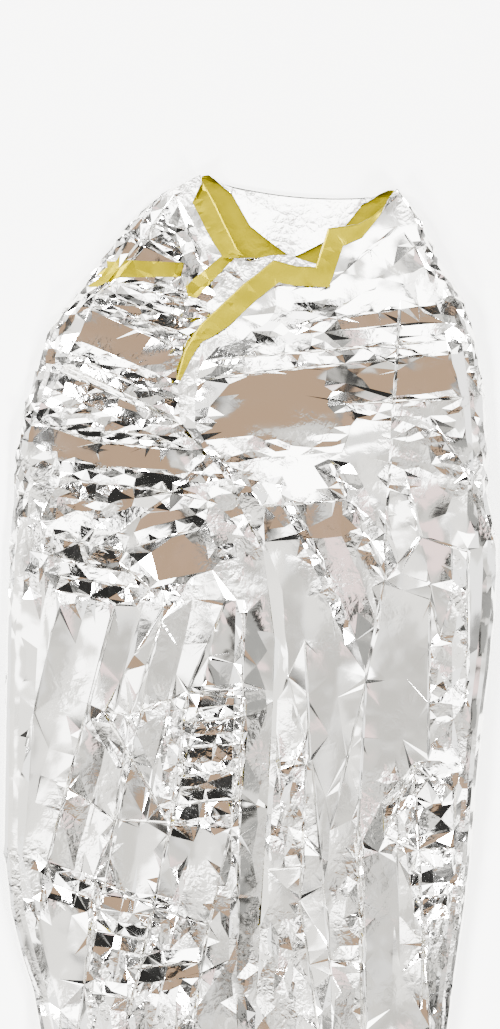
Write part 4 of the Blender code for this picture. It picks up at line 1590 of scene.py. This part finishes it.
@dataclass(frozen=True)
class Studio:
    """Pale floor, soft lights and the camera above the blanket.

    The surroundings stand for the photograph's room: a pale ceiling, a dark ring at mid height and
    a pale wall low down, with panels of other shades in them.

    Args:
        floor_colour: sRGB hex colour of the floor.
        floor_roughness: the floor is matt.
        floor_size: side of the floor, in metres.
        sky: strength of the even light from all round.
        unevenness: how far the patches' outlines stray, as a share of the distance to them.
        uneven_scale: how often they stray: more makes the outlines more ragged.
        heights: rows of height, from 0 at the horizon to 1 straight up, and brightness. The first
            two are the ramp's own ends.
        warmth: share of red, green and blue in that brightness.
        soft_boxes: rows of place in metres and power in watts.
        box_size: side of a soft box, in metres.
        box_aim: the point that the soft boxes face, in metres.
        pale: patches for nearly flat facets and for those that tilt to the sides.
        white: patches for facets that tilt towards the collar.
        tinted: a grey strip, a pink one, and the warm ones for facets that tilt towards the hem.
        accents: small bright and dark patches.
        lens: the camera's lens in mm.
        sensor: height of its sensor in mm.
    """

    floor_colour: str = "#F4F4F2"
    floor_roughness: float = 0.9
    floor_size: float = 14.0
    sky: float = 9.0
    unevenness: float = 0.35
    uneven_scale: float = 3.0
    heights: Table = (
        (0.0, 0.12), (1.0, 0.25), (0.10, 0.09), (0.26, 0.05), (0.33, 0.003), (0.80, 0.002),
        (0.88, 0.01), (0.935, 0.06), (0.97, 0.20),
    )
    warmth: Triple = (1.0, 0.99, 0.97)
    soft_boxes: Table = (
        (2.6, 2.2, 2.6, 500.0), (-2.7, 1.9, 2.6, 500.0),
        (2.2, -2.6, 2.6, 500.0), (-2.3, -2.5, 2.6, 500.0),
    )
    box_size: float = 1.0
    box_aim: Triple = (0.0, 0.2, 0.0)
    pale: tuple[Patch, ...] = (
        Patch(270.0, 9.0, 5.0, 5.0, (0.170, 0.165, 0.154)),
        Patch(0.0, 10.0, 5.0, 5.0, (0.125, 0.121, 0.113)),
        Patch(180.0, 10.0, 5.0, 5.0, (0.28, 0.273, 0.258)),
        Patch(0.0, 26.0, 12.0, 4.0, (0.16, 0.156, 0.147)),
        Patch(0.0, 46.0, 11.0, 4.0, (0.21, 0.206, 0.196)),
        Patch(0.0, 64.0, 12.0, 4.0, (0.36, 0.36, 0.36)),
        Patch(180.0, 26.0, 12.0, 4.0, (0.32, 0.312, 0.296)),
        Patch(184.0, 46.0, 12.0, 4.0, (0.30, 0.294, 0.280)),
        Patch(184.0, 64.0, 13.0, 4.0, (0.36, 0.36, 0.36)),
    )
    white: tuple[Patch, ...] = (
        Patch(90.0, 28.0, 17.0, 5.0, (1.4, 1.4, 1.39)),
        Patch(176.0, 20.0, 6.0, 4.0, (0.95, 0.94, 0.93)),
        Patch(140.0, 38.0, 6.0, 4.0, (0.7, 0.69, 0.68)),
        Patch(114.0, 56.0, 11.0, 4.0, (0.9, 0.9, 0.9)),
        Patch(42.0, 34.0, 6.0, 4.0, (0.9, 0.89, 0.88)),
    )
    tinted: tuple[Patch, ...] = (
        Patch(358.5, 33.0, 7.5, 2.5, (0.06, 0.06, 0.058)),
        Patch(24.0, 17.0, 4.0, 3.0, (0.30, 0.22, 0.215)),
        Patch(248.0, 31.0, 9.0, 2.5, (0.080, 0.052, 0.032)),
        Patch(264.0, 31.0, 7.0, 2.5, (0.082, 0.053, 0.033)),
        Patch(277.0, 29.0, 10.0, 2.5, (0.084, 0.055, 0.034)),
        Patch(304.0, 31.0, 8.0, 2.5, (0.090, 0.058, 0.037)),
    )
    accents: tuple[Patch, ...] = (
        Patch(205.0, 48.0, 4.0, 3.0, (0.8, 0.79, 0.78)),
        Patch(335.0, 50.0, 4.0, 3.0, (0.8, 0.79, 0.78)),
        Patch(60.0, 20.0, 3.0, 2.0, (0.006, 0.006, 0.006)),
        Patch(224.0, 27.0, 3.0, 2.0, (0.006, 0.006, 0.006)),
        Patch(340.0, 24.0, 3.5, 2.0, (0.006, 0.006, 0.006)),
        Patch(158.0, 29.0, 4.0, 2.0, (0.004, 0.004, 0.004)),
        Patch(12.0, 27.0, 3.5, 2.0, (0.004, 0.004, 0.004)),
    )
    lens: float = 90.0
    sensor: float = 24.0

    def build_surroundings(self) -> None:
        """Make the even light from all round: a white ceiling with darker and warmer parts."""
        world = bpy.data.worlds.new("studio")
        world.use_nodes = True
        tree = world.node_tree
        background = tree.nodes["Background"]
        place = add_node(tree, "ShaderNodeTexCoord").outputs["Generated"]
        shifted = self.shifted(tree, place)
        height = add_node(tree, "ShaderNodeSeparateXYZ", links={"Vector": place}).outputs["Z"]
        ramp = add_node(tree, "ShaderNodeValToRGB", links={"Fac": height})
        stops = ramp.color_ramp.elements
        for index, (stop, value) in enumerate(self.heights):
            element = stops[index] if index < 2 else stops.new(stop)
            element.position = stop
            element.color = (*(value * share for share in self.warmth), 1.0)
        colour = ramp.outputs["Color"]
        for patch in (*self.pale, *self.white, *self.tinted, *self.accents):
            colour = self.add_patch(tree, shifted, colour, patch)
        tree.links.new(colour, background.inputs["Color"])
        background.inputs["Strength"].default_value = self.sky
        bpy.context.scene.world = world

    def shifted(
        self, tree: bpy.types.NodeTree, place: bpy.types.NodeSocket
    ) -> bpy.types.NodeSocket:
        """Direction looked in, moved a little aside, so that the patches' outlines are uneven."""
        settings = {"Scale": self.uneven_scale, "Detail": 1.0}
        waves = add_node(tree, "ShaderNodeTexNoise", settings, {"Vector": place})
        centred = add_node(
            tree,
            "ShaderNodeVectorMath",
            {"operation": "SUBTRACT", 1: (0.5, 0.5, 0.5)},
            {0: waves.outputs["Color"]},
        )
        moved = add_node(
            tree,
            "ShaderNodeVectorMath",
            {"operation": "MULTIPLY_ADD", 1: (self.unevenness,) * 3},
            {0: centred.outputs["Vector"], 2: place},
        )
        unit_long = add_node(
            tree, "ShaderNodeVectorMath", {"operation": "NORMALIZE"}, {0: moved.outputs["Vector"]}
        )
        return unit_long.outputs["Vector"]

    @staticmethod
    def add_patch(
        tree: bpy.types.NodeTree,
        place: bpy.types.NodeSocket,
        under: bpy.types.NodeSocket,
        patch: Patch,
    ) -> bpy.types.NodeSocket:
        """Lay a round patch of one shade over the surroundings.

        Args:
            tree: the world's node tree.
            place: direction looked in.
            under: colour so far.
            patch: the patch.

        Returns:
            The colour with the patch.
        """
        dot = add_node(
            tree, "ShaderNodeVectorMath", {"operation": "DOT_PRODUCT", 1: patch.axis()}, {0: place}
        )
        inside = add_node(
            tree,
            "ShaderNodeMapRange",
            {
                "interpolation_type": "SMOOTHSTEP",
                "From Min": math.cos(math.radians(patch.radius + patch.edge)),
                "From Max": math.cos(math.radians(patch.radius)),
            },
            {"Value": dot.outputs["Value"]},
        )
        # 6 and 7 are the colours that a colour mix blends, and 2 is the colour that it gives.
        mixed = add_node(
            tree,
            "ShaderNodeMix",
            {"data_type": "RGBA", 7: (*patch.shade, 1.0)},
            {"Factor": inside.outputs["Result"], 6: under},
        )
        return mixed.outputs[2]

    def build_floor(self) -> None:
        """Make the floor."""
        mesh = bpy.data.meshes.new("floor")
        half = self.floor_size / 2
        mesh.from_pydata(
            [(-half, -half, 0.0), (half, -half, 0.0), (half, half, 0.0), (-half, half, 0.0)],
            [],
            [(0, 1, 2, 3)],
        )
        floor = bpy.data.objects.new("floor", mesh)
        material = bpy.data.materials.new("matt_painted_floor")
        material.use_nodes = True
        shader = material.node_tree.nodes["Principled BSDF"]
        shader.inputs["Base Color"].default_value = linear(self.floor_colour)
        shader.inputs["Roughness"].default_value = self.floor_roughness
        mesh.materials.append(material)
        bpy.context.scene.collection.objects.link(floor)

    def add_soft_box(self, name: str, place: Triple, power: float) -> None:
        """Add a square soft light that faces the blanket.

        Args:
            name: the light's name.
            place: where it hangs, in metres.
            power: its power in watts.
        """
        data = bpy.data.lights.new(name, "AREA")
        data.shape = "SQUARE"
        data.size = self.box_size
        data.energy = power
        light = bpy.data.objects.new(name, data)
        light.location = place
        facing = Vector(self.box_aim) - Vector(place)
        light.rotation_euler = facing.to_track_quat("-Z", "Y").to_euler()
        bpy.context.scene.collection.objects.link(light)

    def build_lights(self) -> None:
        """Make the surroundings and the soft boxes, one to each corner round the film."""
        self.build_surroundings()
        for index, (x, y, z, power) in enumerate(self.soft_boxes):
            self.add_soft_box(f"soft_box_{index}", (x, y, z), power)

    def build_camera(self, plan: Plan) -> None:
        """Make the camera, straight above, with the photograph's framing."""
        data = bpy.data.cameras.new("above")
        data.sensor_fit = "VERTICAL"
        data.sensor_height = self.sensor
        data.lens = self.lens
        camera = bpy.data.objects.new("above", data)
        height = PHOTO_HEIGHT * MM * self.lens / self.sensor
        centre = (plan.centre_down - PHOTO_HEIGHT / 2) * MM
        offset = (PHOTO_WIDTH / 2 - plan.centre_across) * MM
        camera.location = (offset, centre, height + Layer.RIGHT_FLAP.value * MM)
        bpy.context.scene.collection.objects.link(camera)
        bpy.context.scene.camera = camera


def main() -> None:
    """Build the film, its materials and the studio."""
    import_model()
    sheet = Sheet()
    sheet.build()
    # Bare aluminium on the film: nearly a mirror, so each facet has one hard tone.
    silver = MetallisedFilm(
        name="vacuum_metallised_polyester_silver",
        colour="#F1F0EC",
        roughness=0.06,
        haze=0.07,
        facet_mm=9.0,
        speck_mm=3.4,
        facet_depth_mm=0.9,
        speck_depth_mm=0.28,
    )
    # The same metal under a yellow lacquer: satin, so it keeps one deep colour from side to side.
    # The base is darker than real gold film, because the render's tone mapping pales it.
    gold = MetallisedFilm(
        name="gold_lacquered_metallised_polyester",
        colour="#776C00",
        roughness=0.38,
        haze=0.12,
        facet_mm=14.0,
        speck_mm=4.0,
        facet_depth_mm=0.8,
        speck_depth_mm=0.2,
    )
    film = Film(sheet).build([silver.build(), gold.build()])
    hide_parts(NODE)
    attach(film, "root")
    studio = Studio()
    studio.build_floor()
    studio.build_lights()
    studio.build_camera(sheet.plan)


if __name__ == "__main__":
    main()
